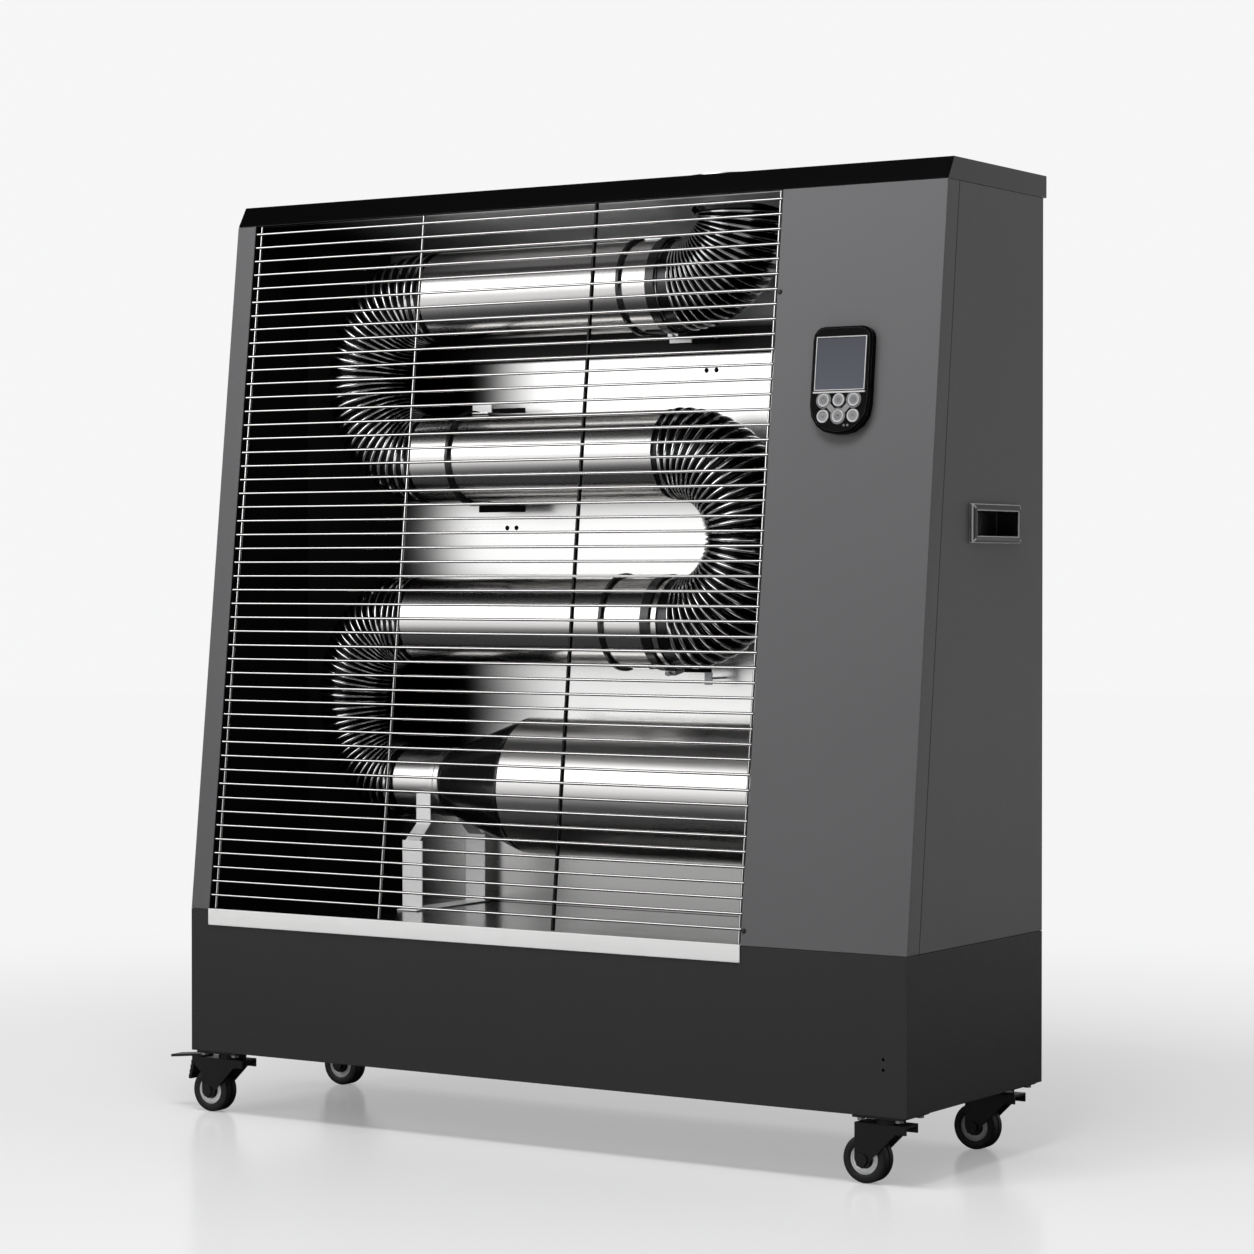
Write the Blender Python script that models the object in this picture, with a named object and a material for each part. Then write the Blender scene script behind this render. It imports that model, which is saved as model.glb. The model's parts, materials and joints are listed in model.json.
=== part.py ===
"""Diesel infrared heater: a slant-fronted steel cabinet on four casters.

The front faces -Y, the control side is +X and the origin is at the middle of the
footprint, on the floor.  Sizes are in metres.
"""
import math

import bmesh
import bpy
from mathutils import Matrix, Vector

# Driving sizes of the cabinet
CABINET_WIDTH = 0.930
CABINET_DEPTH = 0.307
CASTER_HEIGHT = 0.0735
BASE_HEIGHT = 0.163
BODY_HEIGHT = 0.788
CAP_HEIGHT = 0.0238
FRONT_SETBACK = 0.0867
CAP_BEVEL = 0.0137
CAP_OVERHANG = 0.008
CONTROL_WIDTH = 0.1945
LEFT_FLANGE = 0.0259

# Sheet, gaps and other sizes that many pieces share
SHEET = 0.0015
SEAT_GAP = 0.0003
SEAM_GAP = 0.0006
OVERRUN = 0.004
LIP_PROUD = 0.0015
LIP_HEIGHT = 0.019
FLOOR_SHEET = 0.0012

# Casters: the sizes that also set the footprint
SWIVEL_INSET = 0.035
SWIVEL_INSET_Y = 0.031
PEDAL_TIP = 0.084
HANDLE_PROUD = 0.006

# Hot path: one pipe size and depth for all runs, spread evenly between the deck and the cap
PIPE_RADIUS = 0.050
PIPE_WALL = 0.001
PIPE_DEPTH = 0.166
PIPE_SIDES = 20
PIPE_LEVELS = 4
CHAMBER_AXIS_RISE = 0.145
TOP_RUN_DROP = 0.0865

# Levels and edges that follow from the driving sizes
PEDAL_REACH = PEDAL_TIP - SWIVEL_INSET
RIGHT = (CABINET_WIDTH + PEDAL_REACH - HANDLE_PROUD) / 2
LEFT = RIGHT - CABINET_WIDTH
FRONT = (LIP_PROUD - CAP_OVERHANG - CABINET_DEPTH) / 2
BACK = FRONT + CABINET_DEPTH
BASE_BOTTOM = CASTER_HEIGHT
BASE_TOP = BASE_BOTTOM + BASE_HEIGHT
CAP_BOTTOM = BASE_TOP + BODY_HEIGHT
CAP_TOP = CAP_BOTTOM + CAP_HEIGHT
FLOOR_TOP = BASE_TOP + SEAT_GAP + FLOOR_SHEET
SLANT = math.atan2(FRONT_SETBACK, BODY_HEIGHT)
GRILLE_LEFT = LEFT + LEFT_FLANGE
GRILLE_RIGHT = RIGHT - CONTROL_WIDTH
PIPE_Y = FRONT + PIPE_DEPTH
CHAMBER_Z = BASE_TOP + CHAMBER_AXIS_RISE
PIPE_PITCH = (CAP_BOTTOM - TOP_RUN_DROP - CHAMBER_Z) / (PIPE_LEVELS - 1)
PIPE_Z = [CHAMBER_Z + PIPE_PITCH * level for level in range(PIPE_LEVELS)]

FULL_TURN = 2 * math.pi
HALF_STEP = 0.5
BORE_STRIDE = 3


def front_at(z):
    """The depth of the slanted front plane at a height."""
    return FRONT + FRONT_SETBACK * (z - BASE_TOP) / BODY_HEIGHT


# Materials
PAINTS = {
    "charcoal_paint": ((0.045, 0.045, 0.048), 0.55, 0.0),
    "base_paint": ((0.030, 0.030, 0.032), 0.5, 0.0),
    "black_gloss": ((0.006, 0.006, 0.007), 0.18, 0.0),
    "black_heatproof": ((0.008, 0.008, 0.008), 0.35, 0.0),
    "stainless": ((0.62, 0.61, 0.60), 0.22, 1.0),
    "polished_stainless": ((0.72, 0.72, 0.72), 0.10, 1.0),
    "dark_chrome": ((0.10, 0.10, 0.105), 0.22, 1.0),
    "bright_wire": ((0.75, 0.74, 0.72), 0.25, 1.0),
    "galvanised": ((0.45, 0.46, 0.47), 0.45, 1.0),
    "aluminium": ((0.60, 0.60, 0.61), 0.40, 1.0),
    "copper": ((0.70, 0.36, 0.22), 0.35, 1.0),
    "black_plastic": ((0.012, 0.012, 0.013), 0.40, 0.0),
    "silver_plastic": ((0.50, 0.50, 0.50), 0.30, 0.4),
    "display_glass": ((0.10, 0.11, 0.13), 0.15, 0.0),
    "board_green": ((0.02, 0.10, 0.05), 0.50, 0.0),
    "caster_steel": ((0.02, 0.02, 0.02), 0.40, 0.3),
    "wheel_rubber": ((0.012, 0.012, 0.012), 0.60, 0.0),
    "red_plastic": ((0.30, 0.02, 0.02), 0.40, 0.0),
}


def paint(name):
    """The named finish, made once."""
    material = bpy.data.materials.get(name)
    if material is None:
        colour, roughness, metallic = PAINTS[name]
        material = bpy.data.materials.new(name)
        material.use_nodes = True
        shader = material.node_tree.nodes["Principled BSDF"]
        shader.inputs["Base Color"].default_value = (*colour, 1)
        shader.inputs["Roughness"].default_value = roughness
        shader.inputs["Metallic"].default_value = metallic
    return material


# Ways of making a solid
def loft(sections, closed=False):
    """Skin sections of equal point count; the ends are capped unless it closes on itself."""
    bm = bmesh.new()
    rings = [[bm.verts.new(point) for point in section] for section in sections]
    following = rings[1:] + (rings[:1] if closed else [])
    for ring, after in zip(rings, following):
        for i in range(len(ring)):
            j = (i + 1) % len(ring)
            bm.faces.new((ring[i], ring[j], after[j], after[i]))
    if not closed:
        bm.faces.new(rings[0])
        bm.faces.new(rings[-1])
    bmesh.ops.recalc_face_normals(bm, faces=bm.faces)
    return bm


def on_axis(axis, u, v, w):
    """A point whose run along the axis is w; u and v are the other two, in X, Y, Z order."""
    return {"X": (w, u, v), "Y": (u, w, v), "Z": (u, v, w)}[axis]


def prism(outline, axis, low, high):
    """A flat outline carried straight along an axis."""
    return loft([[on_axis(axis, u, v, w) for u, v in outline] for w in (low, high)])


def box(low, high):
    """A block between two corners."""
    outline = [(low[0], low[1]), (high[0], low[1]), (high[0], high[1]), (low[0], high[1])]
    return prism(outline, "Z", low[2], high[2])


def circle(centre, radius, sides, phase):
    """Points round a circle in the plane of an outline."""
    angles = [FULL_TURN * (i + phase) / sides for i in range(sides)]
    return [(centre[0] + radius * math.cos(a), centre[1] + radius * math.sin(a)) for a in angles]


def rod(axis, centre, radius, low, high, sides, phase=HALF_STEP):
    """A round bar along an axis; a half step of phase sets it on a flat."""
    return prism(circle(centre, radius, sides, phase), axis, low, high)


def turned(profile, axis, centre, sides, closed=True):
    """A profile of (run, radius) points turned about an axis.

    A closed profile goes round a bore; an open one ends in two flat caps.
    """
    if closed:
        sections = []
        for i in range(sides):
            a = FULL_TURN * (i + HALF_STEP) / sides
            spot = [(centre[0] + r * math.cos(a), centre[1] + r * math.sin(a), w) for w, r in profile]
            sections.append([on_axis(axis, *point) for point in spot])
        return loft(sections, closed=True)
    rings = [[on_axis(axis, u, v, w) for u, v in circle(centre, r, sides, HALF_STEP)] for w, r in profile]
    return loft(rings)


def swept(path, radii, sides, bore):
    """A round tube along a path in one plane of constant Y.

    Every path point has its own radius; the bore's radius is worked out at a coarser stride.
    """
    across = Vector((0, 1, 0))

    def ring(i, radius):
        before, after = path[max(i - 1, 0)], path[min(i + 1, len(path) - 1)]
        along = (after - before).normalized()
        inward = along.cross(across)
        angles = [FULL_TURN * (k + HALF_STEP) / sides for k in range(sides)]
        return [path[i] + inward * radius * math.cos(a) + across * radius * math.sin(a) for a in angles]

    outer = [ring(i, radius) for i, radius in enumerate(radii)]
    stops = sorted({*range(0, len(path), BORE_STRIDE), len(path) - 1}, reverse=True)
    inner = [ring(i, bore(i / (len(path) - 1))) for i in stops]
    return loft(outer + inner, closed=True)


def gathered(*parts):
    """Several solids in one mesh."""
    bm = bmesh.new()
    for part in parts:
        mesh = bpy.data.meshes.new("part")
        part.to_mesh(mesh)
        part.free()
        bm.from_mesh(mesh)
        bpy.data.meshes.remove(mesh)
    return bm


def shifted(bm, matrix):
    """The same solid moved by a matrix."""
    bmesh.ops.transform(bm, matrix=matrix, verts=bm.verts)
    return bm


def mesh_of(name, bm):
    """A solid as a mesh, which several pieces can share."""
    mesh = bpy.data.meshes.new(name)
    bm.to_mesh(mesh)
    bm.free()
    return mesh


def piece(name, bm, finish, matrix=None):
    """Put a solid in the scene as one named sub-part."""
    return place(name, mesh_of(name, bm), finish, None, matrix)


def place(name, mesh, finish, parent=None, matrix=None):
    """Put a mesh in the scene; a repeated piece shares its mesh."""
    thing = bpy.data.objects.new(name, mesh)
    bpy.context.scene.collection.objects.link(thing)
    if not mesh.materials:
        mesh.materials.append(paint(finish))
    thing.parent = parent
    if matrix is not None:
        thing.matrix_local = matrix
    return thing


def holder(name, matrix):
    """An empty that carries the pieces that move together."""
    empty = bpy.data.objects.new(name, None)
    bpy.context.scene.collection.objects.link(empty)
    empty.matrix_local = matrix
    return empty


def combined(first, second, operation):
    """One solid from two by a Boolean of the exact solver."""
    things = []
    for bm in (first, second):
        mesh = bpy.data.meshes.new("operand")
        bm.to_mesh(mesh)
        bm.free()
        thing = bpy.data.objects.new("operand", mesh)
        bpy.context.scene.collection.objects.link(thing)
        things.append(thing)
    boolean = things[0].modifiers.new("boolean", "BOOLEAN")
    boolean.operation = operation
    boolean.solver = "EXACT"
    boolean.object = things[1]
    bpy.context.view_layer.update()
    evaluated = things[0].evaluated_get(bpy.context.evaluated_depsgraph_get())
    result = bmesh.new()
    result.from_mesh(evaluated.to_mesh())
    evaluated.to_mesh_clear()
    for thing in things:
        mesh = thing.data
        bpy.data.objects.remove(thing)
        bpy.data.meshes.remove(mesh)
    return result


def cut(solid, *tools):
    """The solid less each tool."""
    for tool in tools:
        solid = combined(solid, tool, "DIFFERENCE")
    return solid


def fused(solid, *others):
    """The solid joined with each of the others."""
    for other in others:
        solid = combined(solid, other, "UNION")
    return solid


def smooth(thing, angle=math.radians(40)):
    """Shade a round piece smooth between its sharp edges."""
    thing.data.shade_smooth()
    thing.data.set_sharp_from_angle(angle=angle)
    return thing


# Base: a folded tray that holds the fuel tank and carries the casters
BASE_FLANGE = 0.020
BASE_HOLE_RADIUS = 0.0016
BASE_HOLE_INSET = 0.027
BASE_HOLE_PITCH = 0.0107
BASE_HOLE_DROP = 0.105
SMALL_SIDES = 12


def base_shell():
    """Floor, front and two sides folded from one sheet, with a flange round the top."""
    shell = box((LEFT, FRONT, BASE_BOTTOM), (RIGHT, BACK, BASE_TOP))
    hollow = box((LEFT + SHEET, FRONT + SHEET, BASE_BOTTOM + SHEET),
                 (RIGHT - SHEET, BACK + OVERRUN, BASE_TOP - SHEET))
    mouth = box((LEFT + BASE_FLANGE, FRONT + BASE_FLANGE, BASE_TOP - SHEET - OVERRUN),
                (RIGHT - BASE_FLANGE, BACK + OVERRUN * 2, BASE_TOP + OVERRUN))
    top_hole = BASE_TOP - BASE_HOLE_DROP
    holes = [rod("Y", (RIGHT - BASE_HOLE_INSET, z), BASE_HOLE_RADIUS,
                 FRONT - OVERRUN, FRONT + SHEET + OVERRUN, SMALL_SIDES)
             for z in (top_hole, top_hole - BASE_HOLE_PITCH)]
    piece("base_shell", cut(shell, hollow, mouth, gathered(*holes)), "base_paint")


# Screws: hexagon heads in rows along the top and bottom edges of both rear panels
SCREW_RADIUS = 0.0045
SCREW_HEIGHT = 0.0022
SCREW_END_INSET = 0.024
SCREW_ROW_INSET = 0.012
SCREW_COLUMNS = 4
SCREW_SIDES = 6


def screw_heads(rows):
    """Heads across the cabinet's width at each height, bedded in the sheet."""
    low, high = LEFT + SCREW_END_INSET, RIGHT - SCREW_END_INSET
    columns = [low + (high - low) * i / (SCREW_COLUMNS - 1) for i in range(SCREW_COLUMNS)]
    return gathered(*[rod("Y", (x, z), SCREW_RADIUS, BACK - SHEET / 2, BACK + SCREW_HEIGHT, SCREW_SIDES)
                      for z in rows for x in columns])


# Filler: a sloping bowl in the rear of the base, with a neck into the tank
FILLER_TILT = math.radians(30)
FILLER_FROM_RIGHT = 0.110
FILLER_FROM_BACK = 0.062
FILLER_ABOVE_BASE = 0.066
BOWL_WIDTH = 0.118
BOWL_WALL = 0.0015
BOWL_TOP_DROP = 0.018
BOWL_BOTTOM_RISE = 0.022
NECK_RADIUS = 0.020
NECK_BORE = 0.016
NECK_LENGTH = 0.022
NECK_DIP = 0.006
NECK_CLEARANCE = 0.0005
FILLER_X = RIGHT - FILLER_FROM_RIGHT
FILLER_Y = BACK - FILLER_FROM_BACK
FILLER_Z = BASE_BOTTOM + FILLER_ABOVE_BASE
BOWL_TOP = BASE_TOP - BOWL_TOP_DROP
BOWL_BOTTOM = BASE_BOTTOM + BOWL_BOTTOM_RISE
BOWL_BACK = BACK - SHEET - SEAT_GAP
FILLER_PLACE = Matrix.Translation((FILLER_X, FILLER_Y, FILLER_Z)) @ Matrix.Rotation(FILLER_TILT, 4, "X")


def sloping_y(z, offset):
    """Depth, at a height, of the plane a given distance above the filler's seat on the tank."""
    return FILLER_Y + (offset - (z - FILLER_Z) * math.sin(FILLER_TILT)) / math.cos(FILLER_TILT)


def recess(offset, back, low, high, half_width):
    """The space behind that sloping plane, up to a rear plane, between two heights."""
    outline = [(back, low), (back, high), (sloping_y(high, offset), high), (sloping_y(low, offset), low)]
    return prism(outline, "X", FILLER_X - half_width, FILLER_X + half_width)


def base_rear_panel():
    """The screwed rear wall of the base, open in front of the filler bowl."""
    inset = SHEET + SEAT_GAP
    panel = box((LEFT + inset, BACK - SHEET, BASE_BOTTOM + inset), (RIGHT - inset, BACK, BASE_TOP - inset))
    half = BOWL_WIDTH / 2 - BOWL_WALL
    window = box((FILLER_X - half, BACK - SHEET - OVERRUN, BOWL_BOTTOM + BOWL_WALL),
                 (FILLER_X + half, BACK + OVERRUN, BOWL_TOP - BOWL_WALL))
    heads = screw_heads((BASE_BOTTOM + SCREW_ROW_INSET, BASE_TOP - SCREW_ROW_INSET))
    piece("base_rear_panel", fused(cut(panel, window), heads), "base_paint")


def filler_neck():
    """Bowl and neck in one; the neck dips through the tank wall."""
    half = BOWL_WIDTH / 2
    bowl = recess(SEAT_GAP, BOWL_BACK, BOWL_BOTTOM, BOWL_TOP, half)
    hollow = recess(SEAT_GAP + BOWL_WALL, BOWL_BACK + OVERRUN, BOWL_BOTTOM + BOWL_WALL,
                    BOWL_TOP - BOWL_WALL, half - BOWL_WALL)
    neck = shifted(rod("Y", (0, 0), NECK_RADIUS, -NECK_DIP, NECK_LENGTH, PIPE_SIDES), FILLER_PLACE)
    bore = shifted(rod("Y", (0, 0), NECK_BORE, -NECK_DIP - OVERRUN, NECK_LENGTH + OVERRUN, PIPE_SIDES),
                   FILLER_PLACE)
    piece("filler_neck", cut(fused(cut(bowl, hollow), neck), bore), "black_plastic")


CAP_RADIUS = 0.026
CAP_SKIRT = 0.014
CAP_CROWN = 0.006
CAP_CHAMFER = 0.002
CAP_LOBES = 12
CAP_LOBE_DEPTH = 0.0012


def fuel_cap():
    """A lobed screw cap that sits over the neck."""
    inner = NECK_RADIUS + NECK_CLEARANCE
    seat = NECK_LENGTH + SEAT_GAP
    stations = [(seat, inner), (seat - CAP_SKIRT, inner), (seat - CAP_SKIRT, CAP_RADIUS),
                (seat + CAP_CROWN - CAP_CHAMFER, CAP_RADIUS), (seat + CAP_CROWN, CAP_RADIUS - CAP_CHAMFER)]
    rings = []
    for run, radius in stations:
        lobed = CAP_LOBE_DEPTH if radius > inner else 0
        points = []
        for i in range(CAP_LOBES * 2):
            angle = FULL_TURN * (i + HALF_STEP) / (CAP_LOBES * 2)
            reach = radius - lobed * (i % 2)
            points.append((reach * math.cos(angle), run, reach * math.sin(angle)))
        rings.append(points)
    smooth(piece("fuel_cap", loft(rings), "red_plastic", matrix=FILLER_PLACE))


# Fuel tank: a hollow welded box, cut away under the filler bowl
TANK_WALL = 0.0012
TANK_SIDE_GAP = 0.024
TANK_FRONT_GAP = 0.020
TANK_BACK_GAP = 0.006
TANK_TOP_GAP = 0.014
FEED_FROM_RIGHT = 0.050
FEED_FROM_FRONT = 0.120
FEED_RADIUS = 0.003
FEED_CLEARANCE = 0.0006
FEED_X = RIGHT - FEED_FROM_RIGHT
FEED_Y = FRONT + FEED_FROM_FRONT
TANK_BOTTOM = BASE_BOTTOM + SHEET + SEAT_GAP
TANK_TOP = BASE_TOP - TANK_TOP_GAP


def tank_block(wall):
    """The tank's block, drawn in by a wall all round."""
    block = box((LEFT + TANK_SIDE_GAP + wall, FRONT + TANK_FRONT_GAP + wall, TANK_BOTTOM + wall),
                (RIGHT - TANK_SIDE_GAP - wall, BACK - SHEET - TANK_BACK_GAP - wall, TANK_TOP - wall))
    relief = recess(-wall, BACK + OVERRUN, BOWL_BOTTOM - SEAT_GAP - wall, BASE_TOP + OVERRUN,
                    BOWL_WIDTH / 2 + SEAT_GAP + wall)
    return cut(block, relief)


def fuel_tank():
    """Tank shell with the filler hole and the hole for the feed pipe."""
    shell = cut(tank_block(0), tank_block(TANK_WALL))
    filler = shifted(rod("Y", (0, 0), NECK_RADIUS + NECK_CLEARANCE, -NECK_DIP * 2, OVERRUN, PIPE_SIDES),
                     FILLER_PLACE)
    feed = rod("Z", (FEED_X, FEED_Y), FEED_RADIUS + FEED_CLEARANCE,
               TANK_TOP - TANK_WALL - OVERRUN, TANK_TOP + OVERRUN, SMALL_SIDES)
    piece("fuel_tank", cut(shell, filler, feed), "galvanised")


# Chamber floor: the deck on the base, with the bright lip over its front edge
def chamber_floor():
    """One sheet over the whole base; in front of the chamber it runs out and folds down."""
    side, behind_return = SHEET + SEAT_GAP, FRONT + FASCIA_RETURN + SEAT_GAP
    lip_right = GRILLE_RIGHT - SEAT_GAP
    outline = [(LEFT + side, FRONT + side), (GRILLE_LEFT, FRONT + side), (GRILLE_LEFT, FRONT - LIP_PROUD),
               (lip_right, FRONT - LIP_PROUD), (lip_right, behind_return), (RIGHT - side, behind_return),
               (RIGHT - side, BACK - side), (LEFT + side, BACK - side)]
    sheet = prism(outline, "Z", FLOOR_TOP - LIP_HEIGHT, FLOOR_TOP)
    below = box((LEFT - OVERRUN, FRONT - SEAT_GAP, BASE_BOTTOM),
                (RIGHT + OVERRUN, BACK + OVERRUN, FLOOR_TOP - FLOOR_SHEET))
    feed = rod("Z", (FEED_X, FEED_Y), FEED_RADIUS + FEED_CLEARANCE,
               BASE_TOP - OVERRUN, FLOOR_TOP + OVERRUN, SMALL_SIDES)
    piece("chamber_floor", cut(sheet, below, feed), "polished_stainless")


# Cabinet panels
BACK_FLANGE = 0.015
FASCIA_WRAP = 0.0256
FASCIA_RETURN = 0.018
PANEL_BOTTOM = BASE_TOP + SEAT_GAP
PANEL_TOP = CAP_BOTTOM - SEAT_GAP
HANDLE_LENGTH = 0.112
HANDLE_HEIGHT = 0.041
HANDLE_MID_DEPTH = 0.190
HANDLE_MID_HEIGHT = 0.673
POCKET_LENGTH = 0.095
POCKET_HEIGHT = 0.026
POCKET_DEPTH = 0.022
POCKET_WALL = 0.0015
HANDLE_Y = FRONT + HANDLE_MID_DEPTH


def slanted_panel(outline_at):
    """A folded panel whose plan outline is worked out at its foot and at its head."""
    sections = []
    for z in (PANEL_BOTTOM, PANEL_TOP):
        sections.append([(x, y, z) for x, y in outline_at(front_at(z))])
    return loft(sections)


def handle_window(x_low, x_high):
    """The hole in a side wall that the handle's pocket passes through."""
    half_length = POCKET_LENGTH / 2 + POCKET_WALL + SEAT_GAP
    half_height = POCKET_HEIGHT / 2 + POCKET_WALL + SEAT_GAP
    return box((x_low, HANDLE_Y - half_length, HANDLE_MID_HEIGHT - half_height),
               (x_high, HANDLE_Y + half_length, HANDLE_MID_HEIGHT + half_height))


def left_panel():
    """Left wall with its front flange beside the grille and a small flange at the back."""
    def outline(front):
        return [(LEFT, front), (GRILLE_LEFT, front), (GRILLE_LEFT, front + SHEET),
                (LEFT + SHEET, front + SHEET), (LEFT + SHEET, BACK - SHEET),
                (LEFT + BACK_FLANGE, BACK - SHEET), (LEFT + BACK_FLANGE, BACK), (LEFT, BACK)]
    window = handle_window(LEFT - OVERRUN, LEFT + SHEET + OVERRUN)
    piece("left_panel", cut(slanted_panel(outline), window), "charcoal_paint")


def right_panel():
    """Service cover on the right, behind the seam of the control fascia."""
    def outline(front):
        start = front + FASCIA_WRAP + SEAM_GAP
        return [(RIGHT, start), (RIGHT, BACK), (RIGHT - BACK_FLANGE, BACK), (RIGHT - BACK_FLANGE, BACK - SHEET),
                (RIGHT - SHEET, BACK - SHEET), (RIGHT - SHEET, start)]
    window = handle_window(RIGHT - SHEET - OVERRUN, RIGHT + OVERRUN)
    piece("right_panel", cut(slanted_panel(outline), window), "charcoal_paint")


def control_fascia():
    """Control front: it wraps the right corner and returns into the chamber's right side."""
    def outline(front):
        return [(GRILLE_RIGHT, front), (RIGHT, front), (RIGHT, front + FASCIA_WRAP),
                (RIGHT - SHEET, front + FASCIA_WRAP), (RIGHT - SHEET, front + SHEET),
                (GRILLE_RIGHT + SHEET, front + SHEET), (GRILLE_RIGHT + SHEET, front + FASCIA_RETURN),
                (GRILLE_RIGHT, front + FASCIA_RETURN)]
    piece("control_fascia", slanted_panel(outline), "charcoal_paint")


LOUVRE_WIDTH = 0.090
LOUVRE_SLOT = 0.005
LOUVRE_PITCH = 0.022
LOUVRE_PROUD = 0.0055
LOUVRE_RISE = 0.009
LOUVRE_ROWS = 6
LOUVRE_START = 0.070
LOUVRE_FROM_RIGHT = 0.102
VENT_ROWS = 2
VENT_COLUMNS = 3
VENT_FROM_LEFT = 0.170
VENT_SPACING = 0.150
VENT_DROP = 0.073


def louvre(x, z):
    """The pressed hood above one slot."""
    back, out = BACK - SHEET / 2, BACK + LOUVRE_PROUD
    outline = [(back, z - LOUVRE_SLOT / 2), (out, z - LOUVRE_SLOT / 2),
               (out, z - LOUVRE_SLOT / 2 + SHEET), (back, z + LOUVRE_RISE)]
    return prism(outline, "X", x - LOUVRE_WIDTH / 2, x + LOUVRE_WIDTH / 2)


def louvre_slot(x, z):
    """The way through the panel under a hood."""
    half = LOUVRE_WIDTH / 2 - SHEET
    inside, out = BACK - SHEET - OVERRUN, BACK + LOUVRE_PROUD - SHEET
    sill = z - LOUVRE_SLOT / 2 - SHEET
    outline = [(inside, sill), (out, sill), (out, sill + SHEET * 3 / 2), (inside, z + LOUVRE_RISE - SHEET)]
    return prism(outline, "X", x - half, x + half)


def louvre_places():
    """Rows behind the burner, and a low block of rows high behind the chamber."""
    burner = [(RIGHT - LOUVRE_FROM_RIGHT, BASE_TOP + LOUVRE_START + LOUVRE_PITCH * row)
              for row in range(LOUVRE_ROWS)]
    chamber = [(LEFT + VENT_FROM_LEFT + VENT_SPACING * column, CAP_BOTTOM - VENT_DROP + LOUVRE_PITCH * row)
               for column in range(VENT_COLUMNS) for row in range(VENT_ROWS)]
    return burner + chamber


INLET_FROM_RIGHT = 0.070
INLET_ABOVE_DECK = 0.034
INLET_WIDTH = 0.028
INLET_HEIGHT = 0.020
INLET_FLANGE_SIDE = 0.011
INLET_FLANGE_EDGE = 0.003
INLET_PROUD = 0.002
INLET_DEPTH = 0.020
INLET_WALL = 0.002
INLET_SOCKET_DEPTH = 0.015
INLET_X = RIGHT - INLET_FROM_RIGHT
INLET_Z = BASE_TOP + INLET_ABOVE_DECK


def inlet_block(near, far, wider=0.0, taller=0.0):
    """A block on the inlet's centre, between two depths, grown on every side."""
    half_x, half_z = INLET_WIDTH / 2 + wider, INLET_HEIGHT / 2 + taller
    return box((INLET_X - half_x, near, INLET_Z - half_z), (INLET_X + half_x, far, INLET_Z + half_z))


def rear_panel():
    """Rear wall with louvres, screw heads and the hole for the mains inlet."""
    low, high = LEFT + BACK_FLANGE + SEAT_GAP, RIGHT - BACK_FLANGE - SEAT_GAP
    panel = box((low, BACK - SHEET, PANEL_BOTTOM), (high, BACK, PANEL_TOP))
    places = louvre_places()
    hoods = gathered(*[louvre(x, z) for x, z in places])
    heads = screw_heads((BASE_TOP + SCREW_ROW_INSET, CAP_BOTTOM - SCREW_ROW_INSET))
    slots = gathered(*[louvre_slot(x, z) for x, z in places])
    hole = inlet_block(BACK - SHEET - OVERRUN, BACK + OVERRUN, SEAT_GAP, SEAT_GAP)
    piece("rear_panel", cut(fused(panel, hoods, heads), slots, hole), "charcoal_paint")


def power_inlet():
    """A flush mains socket; its flange sits on the rear panel."""
    flange = inlet_block(BACK + SEAT_GAP, BACK + INLET_PROUD, INLET_FLANGE_SIDE, INLET_FLANGE_EDGE)
    body = inlet_block(BACK - INLET_DEPTH, BACK + INLET_PROUD - SEAT_GAP)
    socket = inlet_block(BACK + INLET_PROUD - INLET_SOCKET_DEPTH, BACK + OVERRUN, -INLET_WALL, -INLET_WALL)
    piece("power_inlet", cut(fused(flange, body), socket), "black_plastic")


# Cap: a pan folded down all round, bevelled at the front
FLUE_BEND = 0.080
FLUE_FROM_RIGHT = 0.291
FLUE_WALL = 0.0015
FLUE_CLEARANCE = 0.0015
FLUE_RIM = 0.064
FLUE_RIM_SHEET = 0.0013
FLUE_COLLAR_PROUD = 0.0025
FLUE_BARS = 4
FLUE_BAR_WIDTH = 0.003
FLUE_BAR_DROP = 0.001
FLUE_BAR_DEPTH = 0.0025
FLUE_X = RIGHT - FLUE_FROM_RIGHT
FLUE_TOP = PIPE_Z[3] + FLUE_BEND


def cap_profile(inset):
    """The cap's section in depth and height, drawn in by a sheet."""
    top = CAP_TOP - inset
    return [(front_at(CAP_BOTTOM) + inset, CAP_BOTTOM), (front_at(CAP_BOTTOM) + CAP_BEVEL + inset, top),
            (BACK + CAP_OVERHANG - inset, top), (BACK + CAP_OVERHANG - inset, CAP_BOTTOM)]


def top_cap():
    """Gloss cap with the flue's hole."""
    shell = prism(cap_profile(0), "X", LEFT, RIGHT)
    inner = cap_profile(SHEET)
    below = [(inner[0][0], CAP_BOTTOM - OVERRUN), *inner, (inner[3][0], CAP_BOTTOM - OVERRUN)]
    hollow = prism(below, "X", LEFT + SHEET, RIGHT - SHEET)
    hole = flue_rod(PIPE_RADIUS + FLUE_WALL + FLUE_CLEARANCE, CAP_BOTTOM, CAP_TOP + OVERRUN)
    piece("top_cap", cut(shell, hollow, hole), "black_gloss")


def flue_rod(radius, low, high):
    """A round bar on the flue's upright axis."""
    return rod("Z", (FLUE_X, PIPE_Y), radius, low, high, PIPE_SIDES)


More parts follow.
